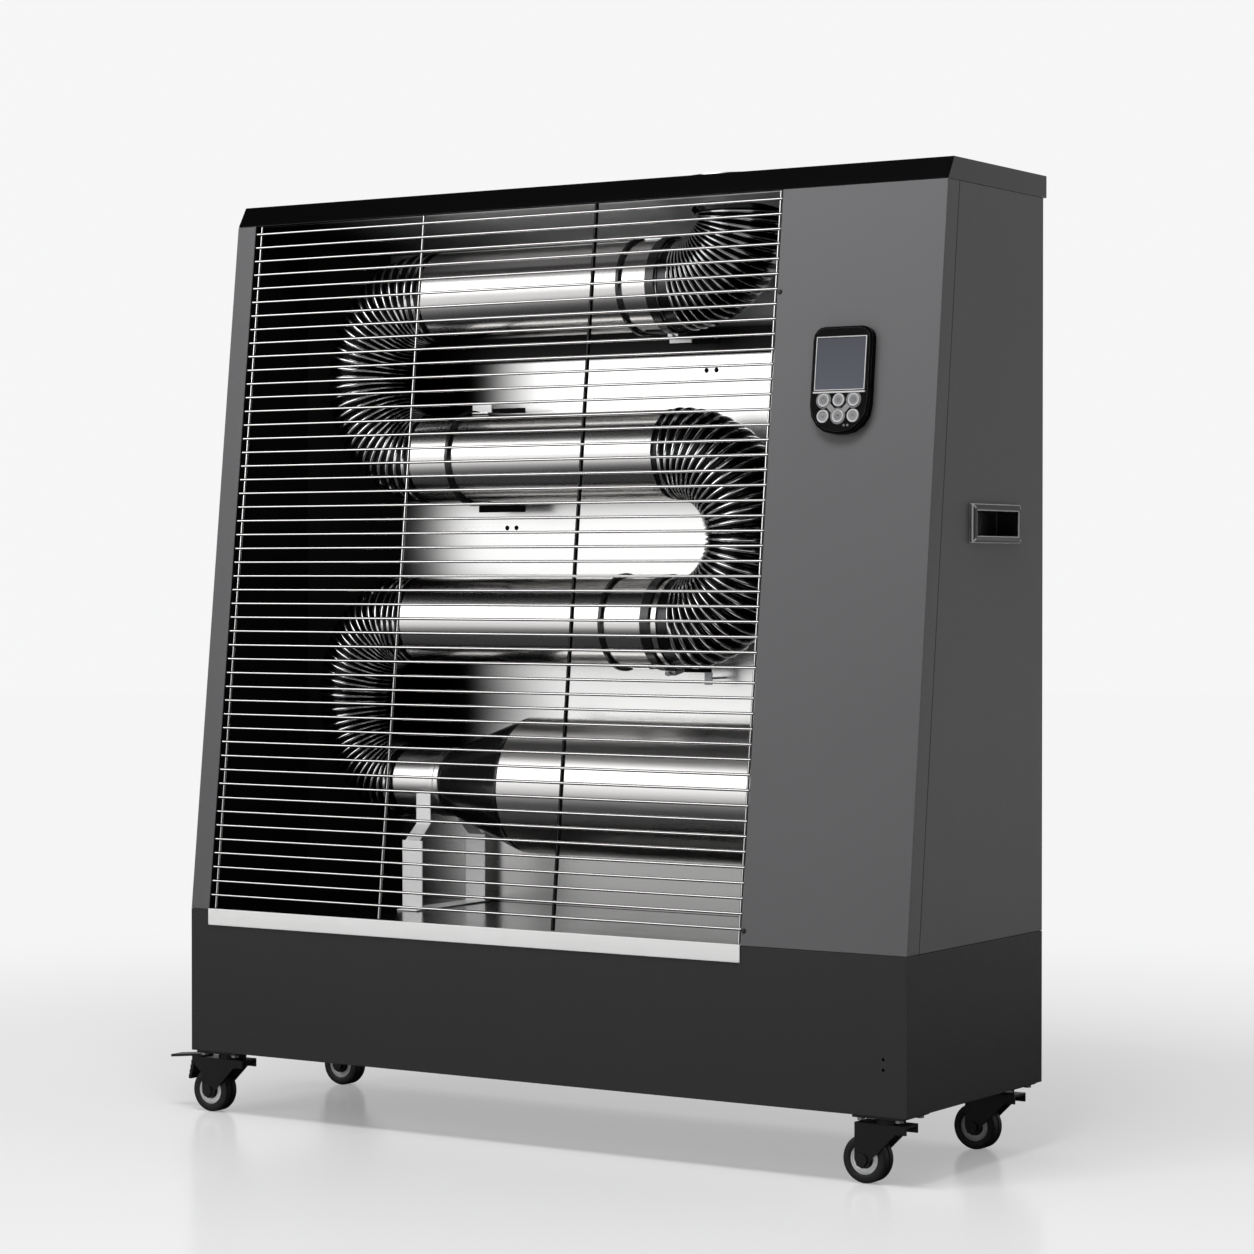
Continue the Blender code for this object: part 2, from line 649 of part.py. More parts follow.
def flue_outlet():
    """Collar through the cap, with a rim that rests on it and guard bars across."""
    top = CAP_TOP + FLUE_COLLAR_PROUD
    collar = flue_rod(PIPE_RADIUS + FLUE_WALL, FLUE_TOP + SEAT_GAP, top)
    rim = flue_rod(FLUE_RIM, CAP_TOP + SEAT_GAP, CAP_TOP + FLUE_RIM_SHEET)
    bore = flue_rod(PIPE_RADIUS - FLUE_WALL, FLUE_TOP - OVERRUN, top + OVERRUN)
    pitch = 2 * PIPE_RADIUS / (FLUE_BARS + 1)
    bars = []
    for i in range(FLUE_BARS):
        x = FLUE_X - PIPE_RADIUS + pitch * (i + 1)
        half = math.sqrt(PIPE_RADIUS ** 2 - (x - FLUE_X) ** 2)
        bars.append(box((x - FLUE_BAR_WIDTH / 2, PIPE_Y - half, top - FLUE_BAR_DROP - FLUE_BAR_DEPTH),
                        (x + FLUE_BAR_WIDTH / 2, PIPE_Y + half, top - FLUE_BAR_DROP)))
    ring = cut(fused(collar, rim), bore)
    smooth(piece("flue_outlet", fused(ring, gathered(*bars)), "stainless"))


# Chamber lining
REFLECTOR_DEPTH = 0.244
REFLECTOR_LEFT = 0.120
REFLECTOR_SHEET = 0.001
PAIR_RADIUS = 0.002
PAIR_PITCH = 0.013
MIDDLE_PAIR_FROM_RIGHT = 0.651
MIDDLE_PAIR_DROP = 0.0785
UPPER_PAIR_FROM_RIGHT = 0.379
UPPER_PAIR_DROP = 0.0895
WING_SIDE_GAP = 0.024
WING_FOLD = 0.185
CEILING_REAR_DROP = 0.0262
SHIELD_DROP = 0.159
SHIELD_GAP = 0.006
ELBOW_HOLE_CLEARANCE = 0.005
BRACKET_WIDTH = 0.022
BRACKET_SHEET = 0.0015
BRACKET_REACH = 0.010
LOWER_BRACKET_FROM_RIGHT = 0.416
MIDDLE_BRACKET_FROM_RIGHT = 0.634
UPPER_BRACKET_FROM_RIGHT = 0.4005
REFLECTOR_Y = FRONT + REFLECTOR_DEPTH
REFLECTOR_X = LEFT + REFLECTOR_LEFT
LINING_TOP = CAP_BOTTOM - SHEET
PARTITION_LEFT = GRILLE_RIGHT + SHEET + SEAT_GAP


def bracket(from_right, level, back):
    """A channel, open to the front, that holds a run over and under."""
    z, front = PIPE_Z[level], PIPE_Y - BRACKET_REACH
    inner = PIPE_RADIUS + SEAT_GAP
    outer = inner + BRACKET_SHEET
    web = back - BRACKET_SHEET
    outline = [(front, z - outer), (back, z - outer), (back, z + outer), (front, z + outer),
               (front, z + inner), (web, z + inner), (web, z - inner), (front, z - inner)]
    x = RIGHT - from_right
    return prism(outline, "X", x - BRACKET_WIDTH / 2, x + BRACKET_WIDTH / 2)


def reflector_back():
    """The bright sheet behind the pipes, with two pairs of small holes and two welded brackets."""
    sheet = box((REFLECTOR_X, REFLECTOR_Y, FLOOR_TOP + SEAT_GAP),
                (PARTITION_LEFT - SEAT_GAP, REFLECTOR_Y + REFLECTOR_SHEET, LINING_TOP))
    pairs = []
    for x, z in ((RIGHT - MIDDLE_PAIR_FROM_RIGHT, PIPE_Z[2] - MIDDLE_PAIR_DROP),
                 (RIGHT - UPPER_PAIR_FROM_RIGHT, PIPE_Z[3] - UPPER_PAIR_DROP)):
        for side in (-PAIR_PITCH / 2, PAIR_PITCH / 2):
            pairs.append(rod("Y", (x + side, z), PAIR_RADIUS, REFLECTOR_Y - OVERRUN,
                             REFLECTOR_Y + REFLECTOR_SHEET + OVERRUN, SCREW_SIDES))
    weld = REFLECTOR_Y + REFLECTOR_SHEET / 2
    brackets = gathered(bracket(LOWER_BRACKET_FROM_RIGHT, 1, weld), bracket(MIDDLE_BRACKET_FROM_RIGHT, 2, weld))
    piece("reflector_back", fused(cut(sheet, gathered(*pairs)), brackets), "polished_stainless")


def wing_corners():
    """Where the wing's inner face folds, and where it meets the rear sheet, in plan."""
    return (LEFT + WING_SIDE_GAP + REFLECTOR_SHEET, FRONT + WING_FOLD), (REFLECTOR_X - SEAT_GAP, REFLECTOR_Y)


def reflector_wing():
    """The dark lining on the left: along the side wall, then folded in to the rear sheet."""
    (inside, fold), (edge, meet) = wing_corners()
    side = inside - REFLECTOR_SHEET
    sections = []
    for z in (FLOOR_TOP + SEAT_GAP, LINING_TOP):
        front = front_at(z) + SHEET + SEAT_GAP
        plan = [(side, front), (inside, front), (inside, fold), (edge, meet), (edge, meet + REFLECTOR_SHEET),
                (side, fold + REFLECTOR_SHEET)]
        sections.append([(x, y, z) for x, y in plan])
    piece("reflector_wing", loft(sections), "black_heatproof")


def chamber_ceiling():
    """A sheet that falls to the rear, round the flue bend, and hangs down as a heat shield.

    The upper run's bracket is welded to the shield.
    """
    rear = REFLECTOR_Y - SHIELD_GAP
    front = front_at(CAP_BOTTOM) + GRILLE_THICKNESS + SEAT_GAP
    low = CAP_BOTTOM - SHIELD_DROP
    fold = CAP_BOTTOM - CEILING_REAR_DROP
    top = CAP_BOTTOM - SEAT_GAP
    outline = [(front, top), (front, top - REFLECTOR_SHEET), (rear - REFLECTOR_SHEET, fold - REFLECTOR_SHEET),
               (rear - REFLECTOR_SHEET, low), (rear, low), (rear, fold)]
    left = LEFT + WING_SIDE_GAP + REFLECTOR_SHEET + SEAT_GAP
    sheet = prism(outline, "X", left, GRILLE_RIGHT - SEAT_GAP)
    hole = flue_rod(ELBOW_RADIUS + ELBOW_HOLE_CLEARANCE, low, top + OVERRUN)
    start, stop = wing_corners()
    lean = (stop[1] - start[1]) / (stop[0] - start[0])
    beyond = start[1] - SEAM_GAP - lean * (start[0] - LEFT)
    behind_wing = prism([(LEFT, beyond), (stop[0], stop[1] - SEAM_GAP), (stop[0], BACK), (LEFT, BACK)], "Z",
                        low - OVERRUN, top + OVERRUN)
    welded = bracket(UPPER_BRACKET_FROM_RIGHT, 3, rear - REFLECTOR_SHEET / 2)
    piece("chamber_ceiling", fused(cut(sheet, hole, behind_wing), welded), "stainless")


CHAMBER_RADIUS = 0.077
CHAMBER_WALL = 0.0015
CHAMBER_LEFT_FROM_RIGHT = 0.566
CHAMBER_PAST_PARTITION = 0.0176
CHAMBER_LEFT = RIGHT - CHAMBER_LEFT_FROM_RIGHT
CHAMBER_RIGHT = PARTITION_LEFT + CHAMBER_PAST_PARTITION
PARTITION_SHEET = 0.0012


def partition():
    """The wall between the chamber and the burner, round the end of the combustion chamber."""
    sections = []
    for z in (FLOOR_TOP + SEAT_GAP, LINING_TOP):
        front = front_at(z) + SHEET + SEAT_GAP
        near, far = PARTITION_LEFT, PARTITION_LEFT + PARTITION_SHEET
        sections.append([(near, front, z), (far, front, z), (far, BACK - SHEET - SEAT_GAP, z),
                         (near, BACK - SHEET - SEAT_GAP, z)])
    hole = rod("X", (PIPE_Y, PIPE_Z[0]), CHAMBER_RADIUS + SEAT_GAP, PARTITION_LEFT - OVERRUN,
               PARTITION_LEFT + PARTITION_SHEET + OVERRUN, PIPE_SIDES)
    piece("partition", cut(loft(sections), hole), "galvanised")


# Grille: level wires welded across four uprights that follow the slant
WIRE_RADIUS = 0.00185
UPRIGHT_SIZE = 0.0038
WELD_DEPTH = 0.0005
WIRE_PITCH = 0.01587
WIRE_FIRST = 0.0167
WIRE_OVERHANG = 0.004
WIRE_END_GAP = 0.0027
WIRE_SIDES = 4
UPRIGHT_COUNT = 4
WIRE_COUNT = int((BODY_HEIGHT - WIRE_FIRST) / WIRE_PITCH) + 1
GRILLE_THICKNESS = WIRE_RADIUS * 2 - WELD_DEPTH + UPRIGHT_SIZE


def front_grille():
    """Round wires across square uprights, fused where they are welded."""
    wire_left, wire_right = GRILLE_LEFT + WIRE_END_GAP, GRILLE_RIGHT - SEAM_GAP
    first, last = wire_left + WIRE_OVERHANG, wire_right - WIRE_OVERHANG
    uprights = []
    for i in range(UPRIGHT_COUNT):
        x = first + (last - first) * i / (UPRIGHT_COUNT - 1)
        low, high = x - UPRIGHT_SIZE / 2, x + UPRIGHT_SIZE / 2
        sections = []
        for z in (FLOOR_TOP + SEAT_GAP, CAP_BOTTOM - SEAT_GAP):
            near, far = front_at(z) + GRILLE_THICKNESS - UPRIGHT_SIZE, front_at(z) + GRILLE_THICKNESS
            sections.append([(low, near, z), (high, near, z), (high, far, z), (low, far, z)])
        uprights.append(loft(sections))
    heights = [BASE_TOP + WIRE_FIRST + WIRE_PITCH * i for i in range(WIRE_COUNT)]
    wires = [rod("X", (front_at(z) + WIRE_RADIUS, z), WIRE_RADIUS, wire_left, wire_right, WIRE_SIDES, 0)
             for z in heights]
    piece("front_grille", fused(gathered(*uprights), gathered(*wires)), "bright_wire")


# Hot path: chamber, reducer, three runs and the ribbed elbows between them
REDUCER_LENGTH = 0.108
SEAM_BAND_WIDTH = 0.014
COLLAR_LENGTH = 0.0505
COLLAR_RADIUS = 0.0375
SEAM_BAND_RISE = 0.002
LEFT_TURN_FROM_RIGHT = 0.705
LEFT_TURN_STAGGER = 0.014
RIGHT_TURN_FROM_RIGHT = 0.379
RIGHT_TURN_STAGGER = 0.007
RING_WIDTH = 0.005
RING_RISE = 0.0012
CLAMP_WIDTH = 0.012
CLAMP_RISE = 0.0028
LOWER_CLAMP_INSET = 0.0135
LOWER_RING_INSET = 0.071
MIDDLE_RING_INSET = 0.0545
UPPER_CLAMP_INSET = 0.007
UPPER_RING_INSET = 0.048
COLLAR_END = CHAMBER_LEFT - REDUCER_LENGTH - SEAM_BAND_WIDTH - COLLAR_LENGTH
SEAM_BAND = COLLAR_RADIUS + SEAM_BAND_RISE
RUN_LEFT = [RIGHT - LEFT_TURN_FROM_RIGHT + LEFT_TURN_STAGGER * step for step in (-1, 0, 1)]
RUN_RIGHT = [RIGHT - RIGHT_TURN_FROM_RIGHT + RIGHT_TURN_STAGGER * step for step in (1, 0, 1)]


def pipe(low, high, radius, wall, height, bands=()):
    """A straight run of pipe along X with raised bands, each a middle, a width and a rise."""
    outer = [(low, radius)]
    for middle, width, rise in bands:
        start, end = middle - width / 2, middle + width / 2
        outer += [(start, radius), (start, radius + rise), (end, radius + rise), (end, radius)]
    inner = radius - wall
    profile = outer + [(high, radius), (high, inner), (low, inner)]
    return turned(profile, "X", (PIPE_Y, height), PIPE_SIDES)


def combustion_chamber():
    """The burner's drum, open towards the reducer and closed by the burner's flange."""
    drum = pipe(CHAMBER_LEFT, CHAMBER_RIGHT, CHAMBER_RADIUS, CHAMBER_WALL, PIPE_Z[0])
    smooth(piece("combustion_chamber", drum, "stainless"))


def chamber_reducer():
    """The cone from the drum to a raised seam band and the outlet collar."""
    start = CHAMBER_LEFT - SEAT_GAP
    end = CHAMBER_LEFT - REDUCER_LENGTH
    seam = end - SEAM_BAND_WIDTH
    outer = [(start, CHAMBER_RADIUS), (end, COLLAR_RADIUS), (end, SEAM_BAND), (seam, SEAM_BAND),
             (seam, COLLAR_RADIUS), (COLLAR_END, COLLAR_RADIUS)]
    inner = COLLAR_RADIUS - CHAMBER_WALL
    profile = outer + [(COLLAR_END, inner), (end, inner), (start, CHAMBER_RADIUS - CHAMBER_WALL)]
    cone = turned(profile, "X", (PIPE_Y, PIPE_Z[0]), PIPE_SIDES)
    smooth(piece("chamber_reducer", cone, "black_heatproof"))


def runs():
    """The three straight radiant tubes with their seam rings and hose clamps."""
    bands = {
        "tube_lower": [(RUN_RIGHT[0] - LOWER_RING_INSET, RING_WIDTH, RING_RISE),
                       (RUN_RIGHT[0] - LOWER_CLAMP_INSET, CLAMP_WIDTH, CLAMP_RISE)],
        "tube_middle": [(RUN_LEFT[1] + MIDDLE_RING_INSET, RING_WIDTH, RING_RISE)],
        "tube_upper": [(RUN_RIGHT[2] - UPPER_RING_INSET, RING_WIDTH, RING_RISE),
                       (RUN_RIGHT[2] - UPPER_CLAMP_INSET, CLAMP_WIDTH, CLAMP_RISE)],
    }
    for step, (name, rings) in enumerate(bands.items()):
        run = pipe(RUN_LEFT[step], RUN_RIGHT[step], PIPE_RADIUS, PIPE_WALL, PIPE_Z[step + 1], rings)
        smooth(piece(name, run, "stainless"))


def return_path(upper_x, lower_x, low_z, side, tightest):
    """Centre line of a return bend: a straight cuff at each end and half an ellipse between them.

    The ellipse reaches out just so far that its tightest bend has the given radius.
    """
    turn_x = (min(upper_x, lower_x) if side < 0 else max(upper_x, lower_x)) + side * CUFF_LENGTH
    up = PIPE_PITCH / 2
    across = math.sqrt(tightest * up)
    angles = [math.pi * t / PATH_STEPS for t in range(PATH_STEPS + 1)]
    bend = [Vector((turn_x + side * across * math.sin(a), PIPE_Y, low_z + up + up * math.cos(a)))
            for a in angles]
    return [Vector((upper_x, PIPE_Y, low_z + PIPE_PITCH))] + bend + [Vector((lower_x, PIPE_Y, low_z))]


def even_points(path, count):
    """Points at equal steps along a broken line."""
    lengths = [0.0]
    for a, b in zip(path, path[1:]):
        lengths.append(lengths[-1] + (b - a).length)
    spots = []
    i = 0
    for k in range(count):
        goal = lengths[-1] * k / (count - 1)
        while i < len(path) - 2 and lengths[i + 1] < goal:
            i += 1
        share = (goal - lengths[i]) / (lengths[i + 1] - lengths[i])
        spots.append(path[i].lerp(path[i + 1], share))
    return spots


RIB_HEIGHT = 0.0028
RIB_COUNT = 21
FLUE_RIBS = 11
CUFF_STEPS = 2
CUFF_LENGTH = 0.006
ELBOW_SIDES = 12
ELBOW_OVER = 0.0015
COLLAR_OVER = 0.0045
LOWER_BEND = 0.05435
UPPER_BEND = 0.07974
RIGHT_BEND = 0.07974
PATH_STEPS = 48
ELBOW_RADIUS = PIPE_RADIUS + ELBOW_OVER


def ribbed(path, ribs, end_radius=ELBOW_RADIUS):
    """A ribbed hose with plain cuffs at both ends and a plain bore."""
    count = ribs * 2 + CUFF_STEPS * 2 + 1
    taper = end_radius - ELBOW_RADIUS
    radii = []
    for i in range(count):
        crest = CUFF_STEPS <= i < count - CUFF_STEPS and (i - CUFF_STEPS) % 2 == 1
        radii.append(ELBOW_RADIUS + taper * i / (count - 1) - (0 if crest else RIB_HEIGHT))

    def bore(share):
        return ELBOW_RADIUS + taper * share - RIB_HEIGHT - PIPE_WALL
    return swept(even_points(path, count), radii, ELBOW_SIDES, bore)


def elbows():
    """Two return bends on the left, one on the right and the bend up to the flue."""
    lower = return_path(RUN_LEFT[0] - SEAT_GAP, COLLAR_END - SEAT_GAP, PIPE_Z[0], -1, LOWER_BEND)
    upper = return_path(RUN_LEFT[2] - SEAT_GAP, RUN_LEFT[1] - SEAT_GAP, PIPE_Z[2], -1, UPPER_BEND)
    right = return_path(RUN_RIGHT[1] + SEAT_GAP, RUN_RIGHT[0] + SEAT_GAP, PIPE_Z[1], 1, RIGHT_BEND)
    start = Vector((RUN_RIGHT[2] + SEAT_GAP, PIPE_Y, PIPE_Z[3]))
    radius = FLUE_BEND - CUFF_LENGTH
    centre = Vector((FLUE_X - radius, PIPE_Y, PIPE_Z[3] + radius))
    quarter = [math.pi / 2 * t / PATH_STEPS for t in range(PATH_STEPS + 1)]
    bend = [centre + radius * Vector((math.sin(a), 0, -math.cos(a))) for a in quarter]
    flue = [start] + bend + [Vector((FLUE_X, PIPE_Y, FLUE_TOP))]
    shapes = [("elbow_lower_left", ribbed(lower, RIB_COUNT, COLLAR_RADIUS + COLLAR_OVER)),
              ("elbow_upper_left", ribbed(upper, RIB_COUNT)), ("elbow_right", ribbed(right, RIB_COUNT)),
              ("flue_elbow", ribbed(flue, FLUE_RIBS))]
    for name, shape in shapes:
        smooth(piece(name, shape, "dark_chrome"))


CRADLE_FROM_RIGHT = 0.6915
CRADLE_WIDTH = 0.028
CRADLE_TAB_WIDTH = 0.020
CRADLE_SPREAD = 0.061
CRADLE_SHEET = 0.0015
CRADLE_FOOT = 0.012
CRADLE_KNEE = 0.0792
CRADLE_BEND = 0.018
CRADLE_TAB_HEIGHT = 0.1337


def outlet_cradle():
    """One bent strap that holds the outlet collar from the front and from the rear."""
    foot = FLOOR_TOP + SEAT_GAP
    base, knee, top = foot + CRADLE_SHEET, foot + CRADLE_KNEE, foot + CRADLE_TAB_HEIGHT
    grip = SEAM_BAND + SEAT_GAP

    def arm(side):
        leg, tab, out = PIPE_Y + side * CRADLE_SPREAD, PIPE_Y + side * grip, side * CRADLE_SHEET
        toe = leg + side * CRADLE_FOOT
        return [(toe, foot), (toe, base), (leg + out, base), (leg + out, knee), (tab + out, knee + CRADLE_BEND),
                (tab + out, top), (tab, top), (tab, knee + CRADLE_BEND), (leg, knee), (leg, base)]
    x = RIGHT - CRADLE_FROM_RIGHT
    strap = prism(arm(1) + arm(-1)[::-1], "X", x - CRADLE_WIDTH / 2, x + CRADLE_WIDTH / 2)
    corners = []
    for side in (-1, 1):
        near, far = sorted((x + side * CRADLE_TAB_WIDTH / 2, x + side * (CRADLE_WIDTH / 2 + OVERRUN)))
        reach = CRADLE_SPREAD + CRADLE_FOOT
        corners.append(box((near, PIPE_Y - reach, knee), (far, PIPE_Y + reach, top + OVERRUN)))
    piece("outlet_cradle", cut(strap, gathered(*corners)), "stainless")


# Burner: blower housing with its air tube, motor, wheel, nozzle, pump and transformer
BLOWER_FROM_RIGHT = 0.0835
BLOWER_WIDTH = 0.060
BLOWER_WALL = 0.002
SCROLL_START = 0.056
SCROLL_GROWTH = 0.019
SCROLL_STEPS = 18
AIR_TUBE_TIP = 0.040
BURNER_FLANGE_SHEET = 0.003
BLOWER_INLET_RADIUS = 0.036
SHAFT_RADIUS = 0.004
SHAFT_CLEARANCE = 0.0005
BLOWER_X = RIGHT - BLOWER_FROM_RIGHT
AIR_TUBE_BORE = BLOWER_WIDTH / 2 - BLOWER_WALL * 2
BLOWER_FRONT = PIPE_Y - BLOWER_WIDTH / 2
BLOWER_BACK = PIPE_Y + BLOWER_WIDTH / 2


def scroll_outline(inset):
    """The blower's spiral in width and height, growing towards its outlet."""
    points = []
    for i in range(SCROLL_STEPS):
        share = i / (SCROLL_STEPS - 1)
        angle = math.pi + FULL_TURN * share * (SCROLL_STEPS - 1) / SCROLL_STEPS
        radius = SCROLL_START + SCROLL_GROWTH * share - inset
        points.append((BLOWER_X + radius * math.cos(angle), PIPE_Z[0] + radius * math.sin(angle)))
    return points


def burner_rod(radius, low, high):
    """A round bar on the chamber's level axis."""
    return rod("X", (PIPE_Y, PIPE_Z[0]), radius, low, high, PIPE_SIDES)


def blower_rod(radius, low, high, sides=PIPE_SIDES):
    """A round bar on the blower's axis."""
    return rod("Y", (BLOWER_X, PIPE_Z[0]), radius, low, high, sides)


def blower_housing():
    """Scroll, air tube and mounting flange as one casting."""
    tip = CHAMBER_RIGHT - AIR_TUBE_TIP
    root = BLOWER_X - SCROLL_START + BLOWER_WALL * 2
    seat = CHAMBER_RIGHT + SEAT_GAP
    scroll = prism(scroll_outline(0), "Y", BLOWER_FRONT, BLOWER_BACK)
    chamber = prism(scroll_outline(BLOWER_WALL), "Y", BLOWER_FRONT + BLOWER_WALL, BLOWER_BACK - BLOWER_WALL)
    tube = burner_rod(BLOWER_WIDTH / 2, tip, root)
    flange = burner_rod(CHAMBER_RADIUS, seat, seat + BURNER_FLANGE_SHEET)
    bore = burner_rod(AIR_TUBE_BORE, tip - OVERRUN, root + BLOWER_WALL * 2)
    inlet = blower_rod(BLOWER_INLET_RADIUS, BLOWER_BACK - BLOWER_WALL - OVERRUN, BLOWER_BACK + OVERRUN)
    shaft = blower_rod(SHAFT_RADIUS + SHAFT_CLEARANCE, BLOWER_FRONT - OVERRUN,
                       BLOWER_FRONT + BLOWER_WALL + OVERRUN, SMALL_SIDES)
    casting = fused(scroll, tube, flange)
    piece("blower_housing", cut(casting, chamber, bore, inlet, shaft), "aluminium")


WHEEL_OUTER = 0.050
WHEEL_INNER = 0.038
WHEEL_WIDTH = 0.040
WHEEL_BLADES = 14
WHEEL_DISC = 0.0025
BLADE_SHEET = 0.0018
BLADE_SWEEP = math.radians(14)
SHAFT_IN_MOTOR = 0.012


def blower_wheel():
    """Drum wheel: a disc on the motor's side, curved blades and an end ring."""
    low, high = -WHEEL_WIDTH / 2, WHEEL_WIDTH / 2
    disc = rod("Y", (0, 0), WHEEL_OUTER, low, low + WHEEL_DISC, PIPE_SIDES)
    shaft_start = BLOWER_FRONT - SHAFT_IN_MOTOR - PIPE_Y
    shaft = rod("Y", (0, 0), SHAFT_RADIUS, shaft_start, low + WHEEL_DISC * 3, SMALL_SIDES)
    ring = turned([(high - WHEEL_DISC, WHEEL_OUTER), (high, WHEEL_OUTER), (high, WHEEL_INNER),
                   (high - WHEEL_DISC, WHEEL_INNER)], "Y", (0, 0), PIPE_SIDES)
    blades = []
    for i in range(WHEEL_BLADES):
        a = FULL_TURN * i / WHEEL_BLADES
        inner = Vector((math.cos(a), math.sin(a))) * (WHEEL_INNER + BLADE_SHEET)
        outer = Vector((math.cos(a + BLADE_SWEEP), math.sin(a + BLADE_SWEEP))) * (WHEEL_OUTER - BLADE_SHEET)
        along = (outer - inner).normalized()
        side = Vector((-along.y, along.x)) * BLADE_SHEET / 2
        outline = [inner - side, outer - side, outer + side, inner + side]
        blades.append(prism(outline, "Y", low + WHEEL_DISC / 2, high - WHEEL_DISC / 2))
    wheel = fused(fused(disc, shaft), gathered(*blades), ring)
    axis = Matrix.Translation((BLOWER_X, PIPE_Y, PIPE_Z[0]))
    piece("blower_wheel", wheel, "aluminium", matrix=axis)


MOTOR_RADIUS = 0.036
MOTOR_LENGTH = 0.068
MOTOR_BELL = 0.030
MOTOR_STEP = 0.010


def burner_motor():
    """Motor in front of the blower; its shaft bore takes the wheel's shaft."""
    seat = BLOWER_FRONT - SEAT_GAP
    end = seat - MOTOR_LENGTH
    stations = [(seat, MOTOR_RADIUS), (end + MOTOR_STEP, MOTOR_RADIUS), (end, MOTOR_BELL)]
    body = turned(stations, "Y", (BLOWER_X, PIPE_Z[0]), PIPE_SIDES, closed=False)
    bore = blower_rod(SHAFT_RADIUS + SHAFT_CLEARANCE, BLOWER_FRONT - SHAFT_IN_MOTOR - OVERRUN,
                      BLOWER_FRONT + OVERRUN, SMALL_SIDES)
    smooth(piece("burner_motor", cut(body, bore), "black_plastic"))


NOZZLE_RADIUS = 0.009
NOZZLE_LENGTH = 0.030
NOZZLE_TIP = 0.012
DIFFUSER_SHEET = 0.0015


def nozzle_assembly():
    """Nozzle and air diffuser inside the air tube."""
    tip = CHAMBER_RIGHT - AIR_TUBE_TIP + NOZZLE_TIP
    disc = tip + NOZZLE_TIP
    diffuser = AIR_TUBE_BORE - SEAT_GAP
    stations = [(tip, NOZZLE_RADIUS / 2), (tip + NOZZLE_TIP / 2, NOZZLE_RADIUS), (disc, NOZZLE_RADIUS),
                (disc, diffuser), (disc + DIFFUSER_SHEET, diffuser), (disc + DIFFUSER_SHEET, NOZZLE_RADIUS),
                (tip + NOZZLE_LENGTH, NOZZLE_RADIUS)]
    body = turned(stations, "X", (PIPE_Y, PIPE_Z[0]), PIPE_SIDES, closed=False)
    smooth(piece("nozzle_assembly", body, "aluminium"))


PUMP_RADIUS = 0.017
PUMP_HEIGHT = 0.062
PUMP_END = 0.010
PUMP_END_RADIUS = 0.008
PUMP_FROM_FRONT = 0.068


def fuel_pump():
    """Solenoid pump standing on the deck."""
    foot = FLOOR_TOP + SEAT_GAP
    stations = [(foot, PUMP_RADIUS), (foot + PUMP_HEIGHT, PUMP_RADIUS), (foot + PUMP_HEIGHT, PUMP_END_RADIUS),
                (foot + PUMP_HEIGHT + PUMP_END, PUMP_END_RADIUS)]
    body = turned(stations, "Z", (FEED_X, FRONT + PUMP_FROM_FRONT), SMALL_SIDES, closed=False)
    smooth(piece("fuel_pump", body, "galvanised"))


FILTER_RADIUS = 0.012
FILTER_LENGTH = 0.034
FILTER_ABOVE_DECK = 0.012
FEED_DIP = 0.095
FEED_STEPS = 8
FEED_SIDES = 8


def fuel_line():
    """Copper feed pipe: out of the tank, up through an in-line filter and over to the pump."""
    bottom = TANK_TOP - FEED_DIP
    filter_low = FLOOR_TOP + FILTER_ABOVE_DECK
    filter_high = filter_low + FILTER_LENGTH
    pump_y = FRONT + PUMP_FROM_FRONT
    pump_top = FLOOR_TOP + SEAT_GAP * 2 + PUMP_HEIGHT + PUMP_END
    crown = pump_top + FEED_RADIUS * 4
    half = (FEED_Y - pump_y) / 2
    shoulder = [(bottom, FEED_RADIUS), (filter_low, FEED_RADIUS), (filter_low + FEED_RADIUS, FILTER_RADIUS),
                (filter_high - FEED_RADIUS, FILTER_RADIUS), (filter_high, FEED_RADIUS)]
    path = [Vector((FEED_X, FEED_Y, z)) for z, radius in shoulder]
    radii = [radius for z, radius in shoulder]
    for i in range(FEED_STEPS + 1):
        angle = math.pi * i / FEED_STEPS
        path.append(Vector((FEED_X, pump_y + half + half * math.cos(angle), crown + half * math.sin(angle))))
        radii.append(FEED_RADIUS)
    path.append(Vector((FEED_X, pump_y, pump_top)))
    radii.append(FEED_RADIUS)
    rings = []
    for i, (spot, radius) in enumerate(zip(path, radii)):
        before, after = path[max(i - 1, 0)], path[min(i + 1, len(path) - 1)]
        along = (after - before).normalized()
        level = Vector((1, 0, 0))
        upright = along.cross(level)
        angles = [FULL_TURN * k / FEED_SIDES for k in range(FEED_SIDES)]
        rings.append([spot + level * radius * math.cos(a) + upright * radius * math.sin(a) for a in angles])
    smooth(piece("fuel_line", loft(rings), "copper"))


COIL_WIDTH = 0.046
COIL_DEPTH = 0.060
COIL_HEIGHT = 0.072
COIL_EDGE = 0.0025
COIL_ABOVE_CHAMBER = 0.100
COIL_FROM_FRONT = 0.140


def ignition_transformer():
    """Ignition coil on the burner side of the partition."""
    x = PARTITION_LEFT + PARTITION_SHEET + SEAT_GAP
    y = FRONT + COIL_FROM_FRONT
    z = PIPE_Z[0] + COIL_ABOVE_CHAMBER
    block = box((x, y, z), (x + COIL_WIDTH, y + COIL_DEPTH, z + COIL_HEIGHT))
    bmesh.ops.bevel(block, geom=block.edges, offset=COIL_EDGE, segments=1, profile=0.5, affect="EDGES")
    piece("ignition_transformer", block, "black_plastic")


